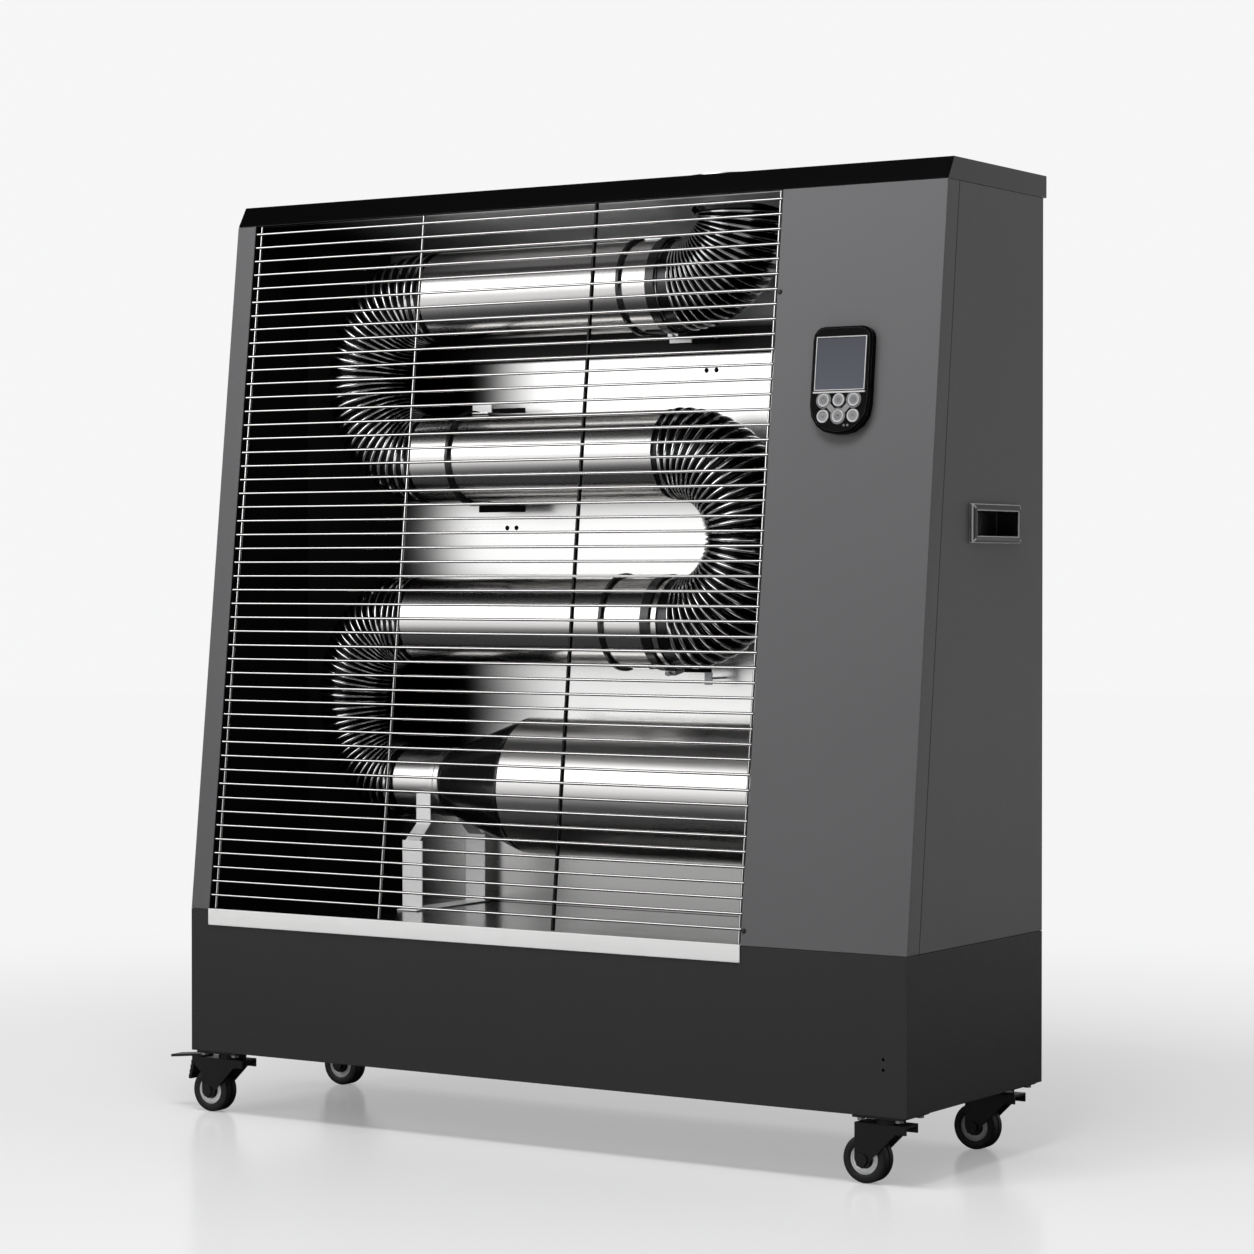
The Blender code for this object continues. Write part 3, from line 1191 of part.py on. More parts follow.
# Controller on the slanted fascia; its own frame has X right, Y into the cabinet, Z up the slope
CONTROLLER_WIDTH = 0.070
CONTROLLER_LENGTH = 0.112
CONTROLLER_PROUD = 0.010
CONTROLLER_FROM_RIGHT = 0.108
CONTROLLER_UP_SLOPE = 0.5865
CONTROLLER_EDGE = 0.002
CORNER_TOP = 0.013
CORNER_BOTTOM = 0.030
CORNER_STEPS = 4
SCREEN_WIDTH = 0.0565
SCREEN_HEIGHT = 0.0535
SCREEN_RISE = 0.017
SCREEN_DEPTH = 0.002
BUTTON_RADIUS = 0.0070
BUTTON_COLUMN_PITCH = 0.0177
BUTTON_ROW_PITCH = 0.0166
BUTTON_FIRST_DROP = 0.0212
BUTTON_PROUD = 0.0014
BUTTON_WELL = 0.006
BUTTON_TRAVEL = 0.001
BUTTON_CLEARANCE = 0.0004
BUTTON_NAMES = [["button_power", "button_mode", "button_timer"], ["button_down", "button_lock", "button_up"]]
SLOPE_FRAME = (Matrix.Translation((RIGHT - CONTROLLER_FROM_RIGHT, FRONT, BASE_TOP))
               @ Matrix.Rotation(-SLANT, 4, "X"))
CONTROLLER_FRAME = SLOPE_FRAME @ Matrix.Translation((0, 0, CONTROLLER_UP_SLOPE))


def controller_outline(inset):
    """Rounded top corners and a much rounder bottom."""
    half_x, half_z = CONTROLLER_WIDTH / 2 - inset, CONTROLLER_LENGTH / 2 - inset
    points = []
    for quarter, (x_side, z_side, radius) in enumerate(((1, 1, CORNER_TOP), (-1, 1, CORNER_TOP),
                                                        (-1, -1, CORNER_BOTTOM), (1, -1, CORNER_BOTTOM))):
        for i in range(CORNER_STEPS + 1):
            angle = math.pi / 2 * (quarter + i / CORNER_STEPS)
            points.append((x_side * (half_x - radius) + radius * math.cos(angle),
                           z_side * (half_z - radius) + radius * math.sin(angle)))
    return points


def button_spots():
    """The name, width and height of each button's middle."""
    spots = []
    for row, names in enumerate(BUTTON_NAMES):
        z = -BUTTON_FIRST_DROP - BUTTON_ROW_PITCH * row
        for column, name in enumerate(names):
            spots.append((name, BUTTON_COLUMN_PITCH * (column - (len(names) - 1) / 2), z))
    return spots


def screen_block(near, far, clearance=0.0):
    """A block over the screen, between two depths."""
    half_x, half_z = SCREEN_WIDTH / 2 + clearance, SCREEN_HEIGHT / 2 + clearance
    return box((-half_x, near, SCREEN_RISE - half_z), (half_x, far, SCREEN_RISE + half_z))


def controller_bezel():
    """The controller's moulded body, with wells for the screen and the buttons."""
    face = -CONTROLLER_PROUD
    stations = [(-SEAT_GAP, 0), (face + CONTROLLER_EDGE, 0), (face, CONTROLLER_EDGE)]
    body = loft([[(x, y, z) for x, z in controller_outline(inset)] for y, inset in stations])
    well = screen_block(face - OVERRUN, face + SCREEN_DEPTH, SEAT_GAP)
    wells = [rod("Y", (x, z), BUTTON_RADIUS + BUTTON_CLEARANCE, face - OVERRUN, face + BUTTON_WELL, SMALL_SIDES)
             for name, x, z in button_spots()]
    body = cut(body, well, gathered(*wells))
    smooth(piece("controller_bezel", body, "black_gloss", matrix=CONTROLLER_FRAME))


def controller_display():
    """The flat display window in its well."""
    window = screen_block(-CONTROLLER_PROUD, -CONTROLLER_PROUD + SCREEN_DEPTH - SEAT_GAP)
    piece("controller_display", window, "display_glass", matrix=CONTROLLER_FRAME)


def buttons():
    """Six round keys; each stands clear of its well's floor by its travel."""
    stations = [(BUTTON_WELL - BUTTON_TRAVEL - SEAT_GAP, BUTTON_RADIUS), (-BUTTON_PROUD / 2, BUTTON_RADIUS),
                (-BUTTON_PROUD, BUTTON_RADIUS - BUTTON_PROUD / 2)]
    key = mesh_of("key", turned(stations, "Y", (0, 0), SMALL_SIDES, closed=False))
    for name, x, z in button_spots():
        spot = CONTROLLER_FRAME @ Matrix.Translation((x, -CONTROLLER_PROUD, z))
        smooth(place(name, key, "silver_plastic", matrix=spot))


BOARD_WIDTH = 0.120
BOARD_DEPTH = 0.016
BOARD_HEIGHT = 0.150


def control_board():
    """The circuit board's case on the inside of the fascia."""
    near = SHEET * math.cos(SLANT) + SEAT_GAP
    case = box((-BOARD_WIDTH / 2, near, -BOARD_HEIGHT / 2),
               (BOARD_WIDTH / 2, near + BOARD_DEPTH, BOARD_HEIGHT / 2))
    piece("control_board", case, "board_green", matrix=CONTROLLER_FRAME)


# Handles: a pocket through each side wall, with a proud rim
RIM_SLOPE = 0.004


def handle(name, side, wall):
    """A recessed pull: side is 1 on the right wall and -1 on the left."""
    def corners(out, half_y, half_z):
        x = wall + side * out
        return [(x, HANDLE_Y + y * half_y, HANDLE_MID_HEIGHT + z * half_z)
                for y, z in ((-1, -1), (1, -1), (1, 1), (-1, 1))]

    def block(out, more_out, wider):
        half_y, half_z = POCKET_LENGTH / 2 + wider, POCKET_HEIGHT / 2 + wider
        return loft([corners(out, half_y, half_z), corners(more_out, half_y, half_z)])
    half_y, half_z = HANDLE_LENGTH / 2, HANDLE_HEIGHT / 2
    rim = loft([corners(SEAT_GAP, half_y, half_z), corners(HANDLE_PROUD - RIM_SLOPE / 2, half_y, half_z),
                corners(HANDLE_PROUD, half_y - RIM_SLOPE, half_z - RIM_SLOPE)])
    shell = block(-POCKET_DEPTH, HANDLE_PROUD / 2, POCKET_WALL)
    pocket = block(-POCKET_DEPTH + POCKET_WALL, HANDLE_PROUD + OVERRUN, 0)
    piece(name, cut(fused(rim, shell), pocket), "black_plastic")


def handles():
    """The two pulls, at the same height and depth."""
    handle("handle_right", 1, RIGHT)
    handle("handle_left", -1, LEFT)


# Casters: plate, fork, wheel and, on the left, a brake pedal
PLATE_SIZE = 0.058
PLATE_SHEET = 0.0025
BOSS_RADIUS = 0.016
CROWN_TOP = 0.063
CROWN_SHEET = 0.0025
CROWN_LEAD = 0.0245
SKIRT = 0.0095
TRAIL = 0.0258
LEG_HALF = 0.009
LEG_STEPS = 4
FORK_SHEET = 0.0022
FORK_CLEARANCE = 0.0012
WHEEL_RADIUS = 0.025
WHEEL_THICK = 0.020
WHEEL_SIDES = 16
HUB_RADIUS = 0.0158
HUB_RECESS = 0.0012
TREAD_GROOVE = 0.002
TREAD_GROOVE_DEPTH = 0.003
AXLE_RADIUS = 0.004
AXLE_CLEARANCE = 0.0006
AXLE_HEAD = 0.0065
AXLE_HEAD_HEIGHT = 0.003
FORK_INNER = WHEEL_THICK / 2 + FORK_CLEARANCE
FORK_OUTER = FORK_INNER + FORK_SHEET
CASTER_PLACES = [("front_left", LEFT + SWIVEL_INSET, FRONT + SWIVEL_INSET_Y, True),
                 ("rear_left", LEFT + SWIVEL_INSET, BACK - SWIVEL_INSET_Y, True),
                 ("front_right", RIGHT - SWIVEL_INSET, FRONT + SWIVEL_INSET_Y, False),
                 ("rear_right", RIGHT - SWIVEL_INSET, BACK - SWIVEL_INSET_Y, False)]


def plate_shape():
    """A square mounting plate with the swivel's boss, about the swivel axis."""
    half, top = PLATE_SIZE / 2, BASE_BOTTOM - SEAT_GAP
    plate = box((-half, -half, top - PLATE_SHEET), (half, half, top))
    boss = rod("Z", (0, 0), BOSS_RADIUS, CROWN_TOP + SEAT_GAP, top - PLATE_SHEET / 2, SMALL_SIDES)
    return fused(plate, boss)


def fork_outline(tail):
    """Side view of a fork about its swivel axis: crown, leg and the round end at the axle."""
    skirt = CROWN_TOP - SKIRT
    points = [(-tail, CROWN_TOP), (CROWN_LEAD, CROWN_TOP), (CROWN_LEAD, skirt), (CROWN_LEAD / 2, skirt)]
    for i in range(LEG_STEPS + 1):
        angle = -math.pi * i / LEG_STEPS
        points.append((-TRAIL + LEG_HALF * math.cos(angle), WHEEL_RADIUS + LEG_HALF * math.sin(angle)))
    return points + [(-TRAIL - LEG_HALF, skirt - SKIRT), (-tail, skirt)]


def fork_shape(tail):
    """A channel trimmed to its side view, with the axle bolt through its legs."""
    under, over = CROWN_TOP - CROWN_SHEET, CROWN_TOP + OVERRUN
    outline = [(-FORK_OUTER, 0), (-FORK_OUTER, over), (FORK_OUTER, over), (FORK_OUTER, 0),
               (FORK_INNER, 0), (FORK_INNER, under), (-FORK_INNER, under), (-FORK_INNER, 0)]
    channel = prism(outline, "X", -tail - OVERRUN, CROWN_LEAD + OVERRUN)
    side_view = prism(fork_outline(tail), "Y", -FORK_OUTER - OVERRUN, FORK_OUTER + OVERRUN)
    end, seat = FORK_OUTER + AXLE_HEAD_HEIGHT, FORK_OUTER - SEAT_GAP
    half_bolt = [(end, AXLE_HEAD), (seat, AXLE_HEAD), (seat, AXLE_RADIUS)]
    stations = [(-run, radius) for run, radius in half_bolt] + half_bolt[::-1]
    bolt = turned(stations, "Y", (-TRAIL, WHEEL_RADIUS), SMALL_SIDES, closed=False)
    return fused(combined(channel, side_view, "INTERSECT"), bolt)


def braked_fork_shape():
    """A fork whose ears reach back to the pedal's pivot, with its crown open between them."""
    slot = box((-EAR_TAIL - OVERRUN, -FORK_INNER, CROWN_TOP - SKIRT),
               (-PEDAL_SLOT, FORK_INNER, CROWN_TOP + OVERRUN))
    return cut(fork_shape(EAR_TAIL), slot)


def wheel_shape():
    """A wheel with a set-back hub and a twin tread; it stands on a flat of its polygon."""
    fit = math.cos(math.pi / WHEEL_SIDES)
    bore, hub, tread = (AXLE_RADIUS + AXLE_CLEARANCE) / fit, HUB_RADIUS / fit, WHEEL_RADIUS / fit
    side = WHEEL_THICK / 2
    half = [(side - HUB_RECESS, bore), (side - HUB_RECESS, hub), (side, hub), (side, tread),
            (TREAD_GROOVE / 2, tread), (TREAD_GROOVE / 2, tread - TREAD_GROOVE_DEPTH)]
    profile = [(-run, radius) for run, radius in half] + half[::-1]
    return turned(profile, "Y", (0, 0), WHEEL_SIDES)


EAR_TAIL = 0.046
PEDAL_PIVOT_BACK = 0.040
PEDAL_PIVOT_HEIGHT = 0.0585
PEDAL_SLOT = 0.0355
PEDAL_CLEARANCE = 0.0012
PEDAL_NOSE = 0.0035
PEDAL_RISE = 0.008
PEDAL_TIP_RISE = 0.0037
PEDAL_TIP_THICK = 0.003
PEDAL_UNDERSIDE = 0.004
SHOE_BACK = 0.0125
SHOE_DROP = 0.0225
SHOE_THICK = 0.0035
SHOE_LEAN = 0.005
SHOE_TEETH = 4
TOOTH = 0.0012
PIN_RADIUS = 0.0018


def pedal_shape():
    """Side view about the pivot: foot plate to the rear, toothed shoe downwards behind the tread."""
    tip = PEDAL_PIVOT_BACK - PEDAL_TIP
    points = [(PEDAL_NOSE, -PEDAL_UNDERSIDE), (PEDAL_NOSE, PEDAL_RISE), (tip, PEDAL_TIP_RISE),
              (tip, PEDAL_TIP_RISE - PEDAL_TIP_THICK), (-SHOE_BACK, PEDAL_UNDERSIDE)]
    for i in range(SHOE_TEETH):
        share = i / SHOE_TEETH
        back = -SHOE_BACK - SHOE_LEAN * share
        points += [(back, -SHOE_DROP * share), (back - TOOTH, -SHOE_DROP * share - TOOTH)]
    points += [(-SHOE_BACK - SHOE_LEAN, -SHOE_DROP), (-SHOE_BACK - SHOE_LEAN + SHOE_THICK, -SHOE_DROP),
               (-SHOE_BACK + SHOE_THICK, -PEDAL_UNDERSIDE)]
    half = FORK_INNER - PEDAL_CLEARANCE
    pin = rod("Y", (0, 0), PIN_RADIUS, SEAT_GAP - FORK_INNER, FORK_INNER - SEAT_GAP, SMALL_SIDES)
    return fused(prism(points, "Y", -half, half), pin)


def casters():
    """Four swivelling casters; each fork, wheel and pedal has its origin on its own axis."""
    plate = mesh_of("plate", plate_shape())
    wheel = mesh_of("wheel", wheel_shape())
    pedal = mesh_of("pedal", pedal_shape())
    forks = {True: mesh_of("braked_fork", braked_fork_shape()),
             False: mesh_of("fork", fork_shape(TRAIL + LEG_HALF))}
    for corner, x, y, braked in CASTER_PLACES:
        swivel = holder("swivel_" + corner, Matrix.Translation((x, y, 0)))
        place("caster_plate_" + corner, plate, "caster_steel", swivel)
        place("fork_" + corner, forks[braked], "caster_steel", swivel)
        axle = Matrix.Translation((-TRAIL, 0, WHEEL_RADIUS))
        smooth(place("wheel_" + corner, wheel, "wheel_rubber", swivel, axle))
        if braked:
            pivot = Matrix.Translation((-PEDAL_PIVOT_BACK, 0, PEDAL_PIVOT_HEIGHT))
            place("brake_pedal_" + corner, pedal, "caster_steel", swivel, pivot)


def build():
    """Clear the scene and make every piece."""
    for thing in list(bpy.data.objects):
        bpy.data.objects.remove(thing, do_unlink=True)
    for make in (base_shell, base_rear_panel, filler_neck, fuel_cap, fuel_tank, chamber_floor, left_panel,
                 right_panel, control_fascia, rear_panel, power_inlet, top_cap, flue_outlet, reflector_back,
                 reflector_wing, chamber_ceiling, partition, front_grille, combustion_chamber, chamber_reducer,
                 runs, elbows, outlet_cradle, blower_housing, blower_wheel, burner_motor, nozzle_assembly,
                 fuel_pump, fuel_line, ignition_transformer, controller_bezel, controller_display, buttons,
                 control_board, handles, casters):
        make()
    print("pieces", sum(thing.type == "MESH" for thing in bpy.data.objects))


build()
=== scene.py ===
# %% [markdown]
# # A diesel infrared heater, dressed for its picture
#
# The heater is a slant-fronted steel cabinet on four casters. Hot gas from a burner runs
# through a drum and three bright tubes joined by ribbed elbows, behind a guard of level wires.
# The solids are already made and packed, and this script loads them as a fixed frame. It then
# gives every surface its real finish, and swaps the plain solids for pieces with full detail.
#
# Everything is in metres. The front faces -Y, the control side is +X and the floor is at Z = 0.

# %% Load the frame
import json
import math

import bmesh
import bpy
from mathutils import Matrix, Vector


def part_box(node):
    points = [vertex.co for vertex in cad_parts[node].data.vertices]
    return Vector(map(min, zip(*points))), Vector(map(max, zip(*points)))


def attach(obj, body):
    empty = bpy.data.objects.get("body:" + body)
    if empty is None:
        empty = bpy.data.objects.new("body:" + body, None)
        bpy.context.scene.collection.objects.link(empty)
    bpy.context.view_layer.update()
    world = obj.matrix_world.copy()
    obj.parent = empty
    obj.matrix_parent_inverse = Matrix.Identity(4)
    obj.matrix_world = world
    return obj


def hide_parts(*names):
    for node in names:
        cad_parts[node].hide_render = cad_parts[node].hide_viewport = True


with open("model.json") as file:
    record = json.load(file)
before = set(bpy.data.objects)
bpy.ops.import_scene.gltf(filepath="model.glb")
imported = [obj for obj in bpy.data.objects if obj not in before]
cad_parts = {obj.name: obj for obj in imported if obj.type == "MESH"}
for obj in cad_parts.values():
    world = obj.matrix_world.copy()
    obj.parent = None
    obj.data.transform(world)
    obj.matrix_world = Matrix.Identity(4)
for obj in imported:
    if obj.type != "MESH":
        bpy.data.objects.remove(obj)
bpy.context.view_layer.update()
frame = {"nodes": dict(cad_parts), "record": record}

# %% [markdown]
# ## Camera
#
# The camera was fitted to the cabinet's straight edges, so a long lens from the right and a
# little above the middle of the object gives the picture's perspective. A long lens keeps the
# uprights nearly parallel, which is how such objects are usually shown.

# %% Camera
TILT, TURN = 89.11, 32.88
camera_data = bpy.data.cameras.new("camera")
camera_data.lens = 98.03
camera_data.sensor_width = 36
camera = bpy.data.objects.new("camera", camera_data)
camera.location = (2.1047, -3.1765, 0.6205)
camera.rotation_euler = (math.radians(TILT), 0, math.radians(TURN))
bpy.context.scene.collection.objects.link(camera)
bpy.context.scene.camera = camera
bpy.context.scene.view_settings.view_transform = "Standard"
print("camera", tuple(camera.location))

# %% [markdown]
# ## Shader sums
#
# A finish is mostly arithmetic: some noise times a small number, plus a base value. Adding Math
# nodes by hand hides that, so a small class wraps a socket and turns Python's operators into
# Math nodes. A second class holds one material and adds any other node to it.


# %% Shader helpers
class Field:
    """A value that varies over a surface."""

    def __init__(self, graph, socket):
        self.graph, self.socket = graph, socket

    def math(self, operation, first, second):
        return self.graph.node("ShaderNodeMath", {"operation": operation}, {0: first, 1: second})

    def __add__(self, other):
        return self.math("ADD", self, other)

    def __sub__(self, other):
        return self.math("SUBTRACT", self, other)

    def __mul__(self, other):
        return self.math("MULTIPLY", self, other)


class Graph:
    """The nodes of one material or of the world."""

    def __init__(self, owner):
        owner.use_nodes = True
        self.tree = owner.node_tree

    def feed(self, socket, value):
        if isinstance(value, Field):
            self.tree.links.new(value.socket, socket)
        else:
            socket.default_value = value

    def node(self, kind, settings=(), inputs=(), output=0):
        made = self.tree.nodes.new(kind)
        for key, value in dict(settings).items():
            setattr(made, key, value)
        for key, value in dict(inputs).items():
            self.feed(made.inputs[key], value)
        return Field(self, made.outputs[output])


class Finish(Graph):
    """One material, with its Principled shader."""

    def __init__(self, name, colour, roughness, metallic=0.0):
        self.material = bpy.data.materials.new(name)
        super().__init__(self.material)
        self.shader = self.tree.nodes["Principled BSDF"]
        self.set("Base Color", (*colour, 1))
        self.set("Roughness", roughness)
        self.set("Metallic", metallic)

    def set(self, name, value):
        self.feed(self.shader.inputs[name], value)

    def place(self, scale=(1, 1, 1)):
        """Object coordinates, stretched."""
        here = self.node("ShaderNodeTexCoord", output="Object")
        return self.node("ShaderNodeMapping", {}, {"Vector": here, "Scale": scale})

    def noise(self, scale, stretch=(1, 1, 1), detail=2.0):
        return self.node("ShaderNodeTexNoise", {},
                         {"Vector": self.place(stretch), "Scale": scale, "Detail": detail})

    def mix(self, factor, first, second):
        """A blend of two colours."""
        return self.node("ShaderNodeMix", {"data_type": "RGBA"},
                         {0: factor, 6: (*first, 1), 7: (*second, 1)}, output=2)

    def bump(self, height, depth, strength=1.0):
        self.set("Normal", self.node("ShaderNodeBump", {},
                                     {"Height": height, "Distance": depth, "Strength": strength}))


def shade(colour, factor):
    """The same colour, darker or lighter."""
    return tuple(min(1.0, channel * factor) for channel in colour)


# %% [markdown]
# ## Painted finishes
#
# The cabinet is powder coated: a baked powder that leaves a fine, even grain and a satin sheen.
# Two scales of noise give the grain. A third, very broad one lets the tone wander by a few per
# cent, because a large painted sheet is never one colour. The cap is gloss enamel, which has
# almost no grain, only the slight waviness of orange peel.


# %% Painted finishes
def powder(name, colour, roughness, sheen=0.35):
    """Satin powder coat."""
    paint = Finish(name, colour, roughness)
    drift = paint.noise(2.4, detail=3.0)
    grain = paint.noise(1500.0, detail=1.0)
    patch = paint.noise(260.0)
    paint.set("Base Color", paint.mix(drift, shade(colour, 0.9), shade(colour, 1.1)))
    paint.set("Roughness", patch * 0.1 + (roughness - 0.05))
    paint.set("Specular IOR Level", sheen)
    paint.bump(grain * 0.7 + patch * 0.3, 0.00012, 0.55)
    return paint.material


def enamel(name, colour, roughness):
    """Gloss enamel with orange peel."""
    paint = Finish(name, colour, roughness)
    peel = paint.noise(240.0, detail=1.0)
    dust = paint.noise(30.0, detail=4.0)
    paint.set("Roughness", dust * 0.08 + roughness)
    paint.set("Coat Weight", 0.15)
    paint.bump(peel, 0.00006, 0.5)
    return paint.material


charcoal = powder("charcoal_powder_coat", (0.094, 0.094, 0.097), 0.46)
base_coat = powder("base_powder_coat", (0.024, 0.024, 0.0248), 0.5)
gloss_black = enamel("gloss_black_enamel", (0.002, 0.002, 0.0022), 0.1)
heat_black = enamel("heatproof_black", (0.007, 0.007, 0.0072), 0.2)
caster_black = powder("caster_black_zinc", (0.012, 0.012, 0.0125), 0.36)
# Near black for the wing and partition linings, and painted shade on the saddle plates and round the
# back sheet's holes.
black_lining_and_shade = powder("black_lining_and_painted_shade", (0.003, 0.003, 0.003), 0.6, 0.08)
print("materials after the paints", len(bpy.data.materials))

# %% [markdown]
# ## Bright metal
#
# Stainless sheet and tube carry fine lines from the rolling mill. Noise that is stretched many
# times along one axis reads as those lines. They change the roughness a little and press a very
# shallow bump, so that a highlight breaks into streaks without losing its place.


# %% Bright metal
def rolled(name, colour, roughness, lines=(4, 420, 420), depth=0.00003, stain=0.06, metallic=1.0):
    """Metal with mill lines along one axis."""
    steel = Finish(name, colour, roughness, metallic)
    line = steel.noise(1.0, lines, 3.0)
    cloud = steel.noise(9.0, detail=4.0)
    steel.set("Base Color", steel.mix(cloud, shade(colour, 1 - stain), shade(colour, 1 + stain)))
    steel.set("Roughness", line * 0.1 + cloud * 0.05 + (roughness - 0.07))
    steel.bump(line, depth, 0.3)
    return steel.material


tube_steel = rolled("tube_stainless", (0.72, 0.71, 0.7), 0.19, (2.5, 150, 150), 0.00002)
drum_steel = rolled("drum_stainless", (0.74, 0.73, 0.72), 0.29, (2.5, 150, 150), 0.00002)
lip_steel = rolled("lip_stainless", (0.97, 0.96, 0.94), 0.34, (5, 700, 700), metallic=0.5)
# Dark steel for the chamber floor: painted shade.
floor_steel = rolled("shade_darkened_floor", (0.2, 0.2, 0.2), 0.2, (4, 300, 300))
strap_steel = rolled("strap_stainless", (0.96, 0.96, 0.95), 0.34, (300, 300, 4), metallic=0.45)
hose_chrome = rolled("ribbed_chrome", (0.88, 0.88, 0.885), 0.14, (60, 60, 60), 0.00001, 0.1)
# Near black for the hose grooves: painted shade.
groove_shade = rolled("painted_groove_shade", (0.05, 0.05, 0.052), 0.25, (60, 60, 60), 0.00001, 0.12)
# Near black for the thick upright: painted shade.
upright_shade_chrome = rolled("shaded_upright", (0.03, 0.03, 0.03), 0.2, (8, 900, 900), 0.00002)
wire_chrome = rolled("bright_wire", (0.76, 0.75, 0.74), 0.16, (8, 900, 900), 0.00002)
galvanised = rolled("galvanised_sheet", (0.4, 0.41, 0.42), 0.42, (60, 60, 60), 0.00003, 0.18)
cast_metal = rolled("cast_aluminium", (0.52, 0.52, 0.53), 0.5, (700, 700, 700), 0.00012, 0.08)
copper = rolled("copper_pipe", (0.68, 0.34, 0.2), 0.3, (200, 200, 6), 0.00002, 0.14)
bolt_steel = rolled("bolt_zinc", (0.5, 0.5, 0.51), 0.34, (300, 300, 300))
print("materials after the metals", len(bpy.data.materials))

# %% [markdown]
# ## The reflector's sheet
#
# The back sheet is nearly a mirror. Its colour runs from near black on the left to bright
# steel over the width of the hoses, and it darkens again near the chamber floor: painted shade
# and painted reflection of the dark left end of the chamber. The edge of the painted dark part
# sways once for each pair of pipes. The sloping ceiling sheet is made the same way, with
# painted shade that is black below the top pipe and half as bright under the cap. The grain is
# so fine that it only blurs.

# %% Reflector sheet
SWAY_HEIGHT, SWAY_LENGTH = 0.655, 0.375


def shade_painted_sheet(name, dark, light, roughness, start, width, wave, metallic=1.0, bands=()):
    """Bright sheet with painted shade: black towards its left end, along an edge that sways with height.
    """
    sheet = Finish(name, light, roughness, metallic)
    here = sheet.node("ShaderNodeTexCoord", output="Object")
    parts = sheet.node("ShaderNodeSeparateXYZ", {}, {0: here}).socket.node.outputs
    x, z = Field(sheet, parts["X"]), Field(sheet, parts["Z"])
    phase = (z - SWAY_HEIGHT) * (2 * math.pi / SWAY_LENGTH)
    sway = phase.math("COSINE", phase, 0)
    share = sheet.node("ShaderNodeMapRange", {"interpolation_type": "SMOOTHSTEP"},
                       {"Value": x + sway * wave, "From Min": start, "From Max": start + width})
    for foot, head, below, above in bands:
        share = share * sheet.node("ShaderNodeMapRange", {},
                                   {"Value": z, "From Min": foot, "From Max": head,
                                    "To Min": below, "To Max": above})
    sheet.set("Base Color", sheet.mix(share, dark, light))
    sheet.set("Roughness", sheet.noise(1.0, (2, 40, 40), 3.0) * 0.05 + (roughness - 0.02))
    return sheet.material


# Painted shade: black to the left and darker near the chamber floor.
mirror_sheet = shade_painted_sheet("reflector_stainless", (0.006, 0.006, 0.006), (0.88, 0.88, 0.87), 0.27,
                        -0.295, 0.16, 0.062, bands=((0.25, 0.42, 0.45, 1),))
# Painted shade: black below the top pipe and half as bright under the cap.
ceiling_sheet = shade_painted_sheet("ceiling_stainless", (0.01, 0.01, 0.01), (1, 1, 1), 0.5,
                         -0.36, 0.3, 0, 0.85,
                         bands=((0.895, 0.915, 0.01, 1), (0.98, 1.04, 1, 0.5)))
print("sheets", mirror_sheet.name, ceiling_sheet.name)

# %% [markdown]
# ## Plastics, rubber and glass
#
# Moulded plastic has a fine even texture and a broad soft highlight. Rubber is rougher and a
# little lighter where it has been handled. The controller's black mirrors almost nothing, so
# its edges get a paler finish of their own as painted highlight. The display is a dark slate
# window behind a clear glossy face, so it gets a coat over a gradient that is paler towards
# its foot, painted reflection.


# %% Plastics, rubber and glass
def moulded(name, colour, roughness, grain=0.00008, sheen=0.5):
    """Textured plastic or rubber."""
    plastic = Finish(name, colour, roughness)
    plastic.set("Specular IOR Level", sheen)
    texture = plastic.noise(1100.0, detail=1.0)
    wear = plastic.noise(40.0, detail=3.0)
    plastic.set("Base Color", plastic.mix(wear, shade(colour, 0.88), shade(colour, 1.14)))
    plastic.set("Roughness", wear * 0.12 + (roughness - 0.06))
    plastic.bump(texture, grain, 0.5)
    return plastic.material


black_plastic = moulded("black_satin_plastic", (0.007, 0.007, 0.0075), 0.26)
gloss_plastic = moulded("black_gloss_plastic", (0.002, 0.002, 0.0022), 0.12, 0.00001, 0.02)
# Pale: painted highlight on the handle rims, and the pale trim and key rims of the controller.
pale_trim_and_highlight = moulded("pale_trim_and_painted_highlight", (0.42, 0.42, 0.425), 0.24, 0.00001)
silver_plastic = moulded("silver_plastic", (0.15, 0.15, 0.154), 0.28, 0.00003)
# Paler edges of the controller: painted highlight.
edge_highlight_plastic = moulded("controller_edge_highlight", (0.16, 0.16, 0.163), 0.2, 0.00001)
key_mark = moulded("key_mark_ink", (0.02, 0.02, 0.02), 0.5, 0.00001)
rubber = moulded("tread_rubber", (0.012, 0.012, 0.012), 0.55, 0.00012)
hub_plastic = moulded("hub_grey_plastic", (0.8, 0.8, 0.81), 0.42)
red_plastic = moulded("red_cap_plastic", (0.32, 0.018, 0.016), 0.36)
board_plastic = moulded("board_case_plastic", (0.02, 0.09, 0.05), 0.5)

window = Finish("display_window", (0.1, 0.11, 0.13), 0.16)
window_low, window_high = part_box("controller_display")
here = window.node("ShaderNodeTexCoord", output="Object")
height = window.node("ShaderNodeSeparateXYZ", {}, {0: here}, output=2)
level = (height - window_low.z) * (1 / (window_high.z - window_low.z))
# The gradient, paler towards the foot, is painted reflection.
window.set("Base Color", window.mix(level, (0.036, 0.04, 0.058), (0.02, 0.022, 0.034)))
window.set("Coat Weight", 0.1)
window.set("Specular IOR Level", 0.2)
window.set("Roughness", window.noise(60.0) * 0.06 + 0.12)
display_glass = window.material
print("finishes", len(bpy.data.materials))

# %% [markdown]
# ## Making and fitting a piece
#
# Each detailed piece is one mesh whose place is in its vertices. One helper links it, gives it
# its finish, shades it smooth between its sharp edges, parents it to an empty for the body it
# rides on, and hides the plain solid it stands for.


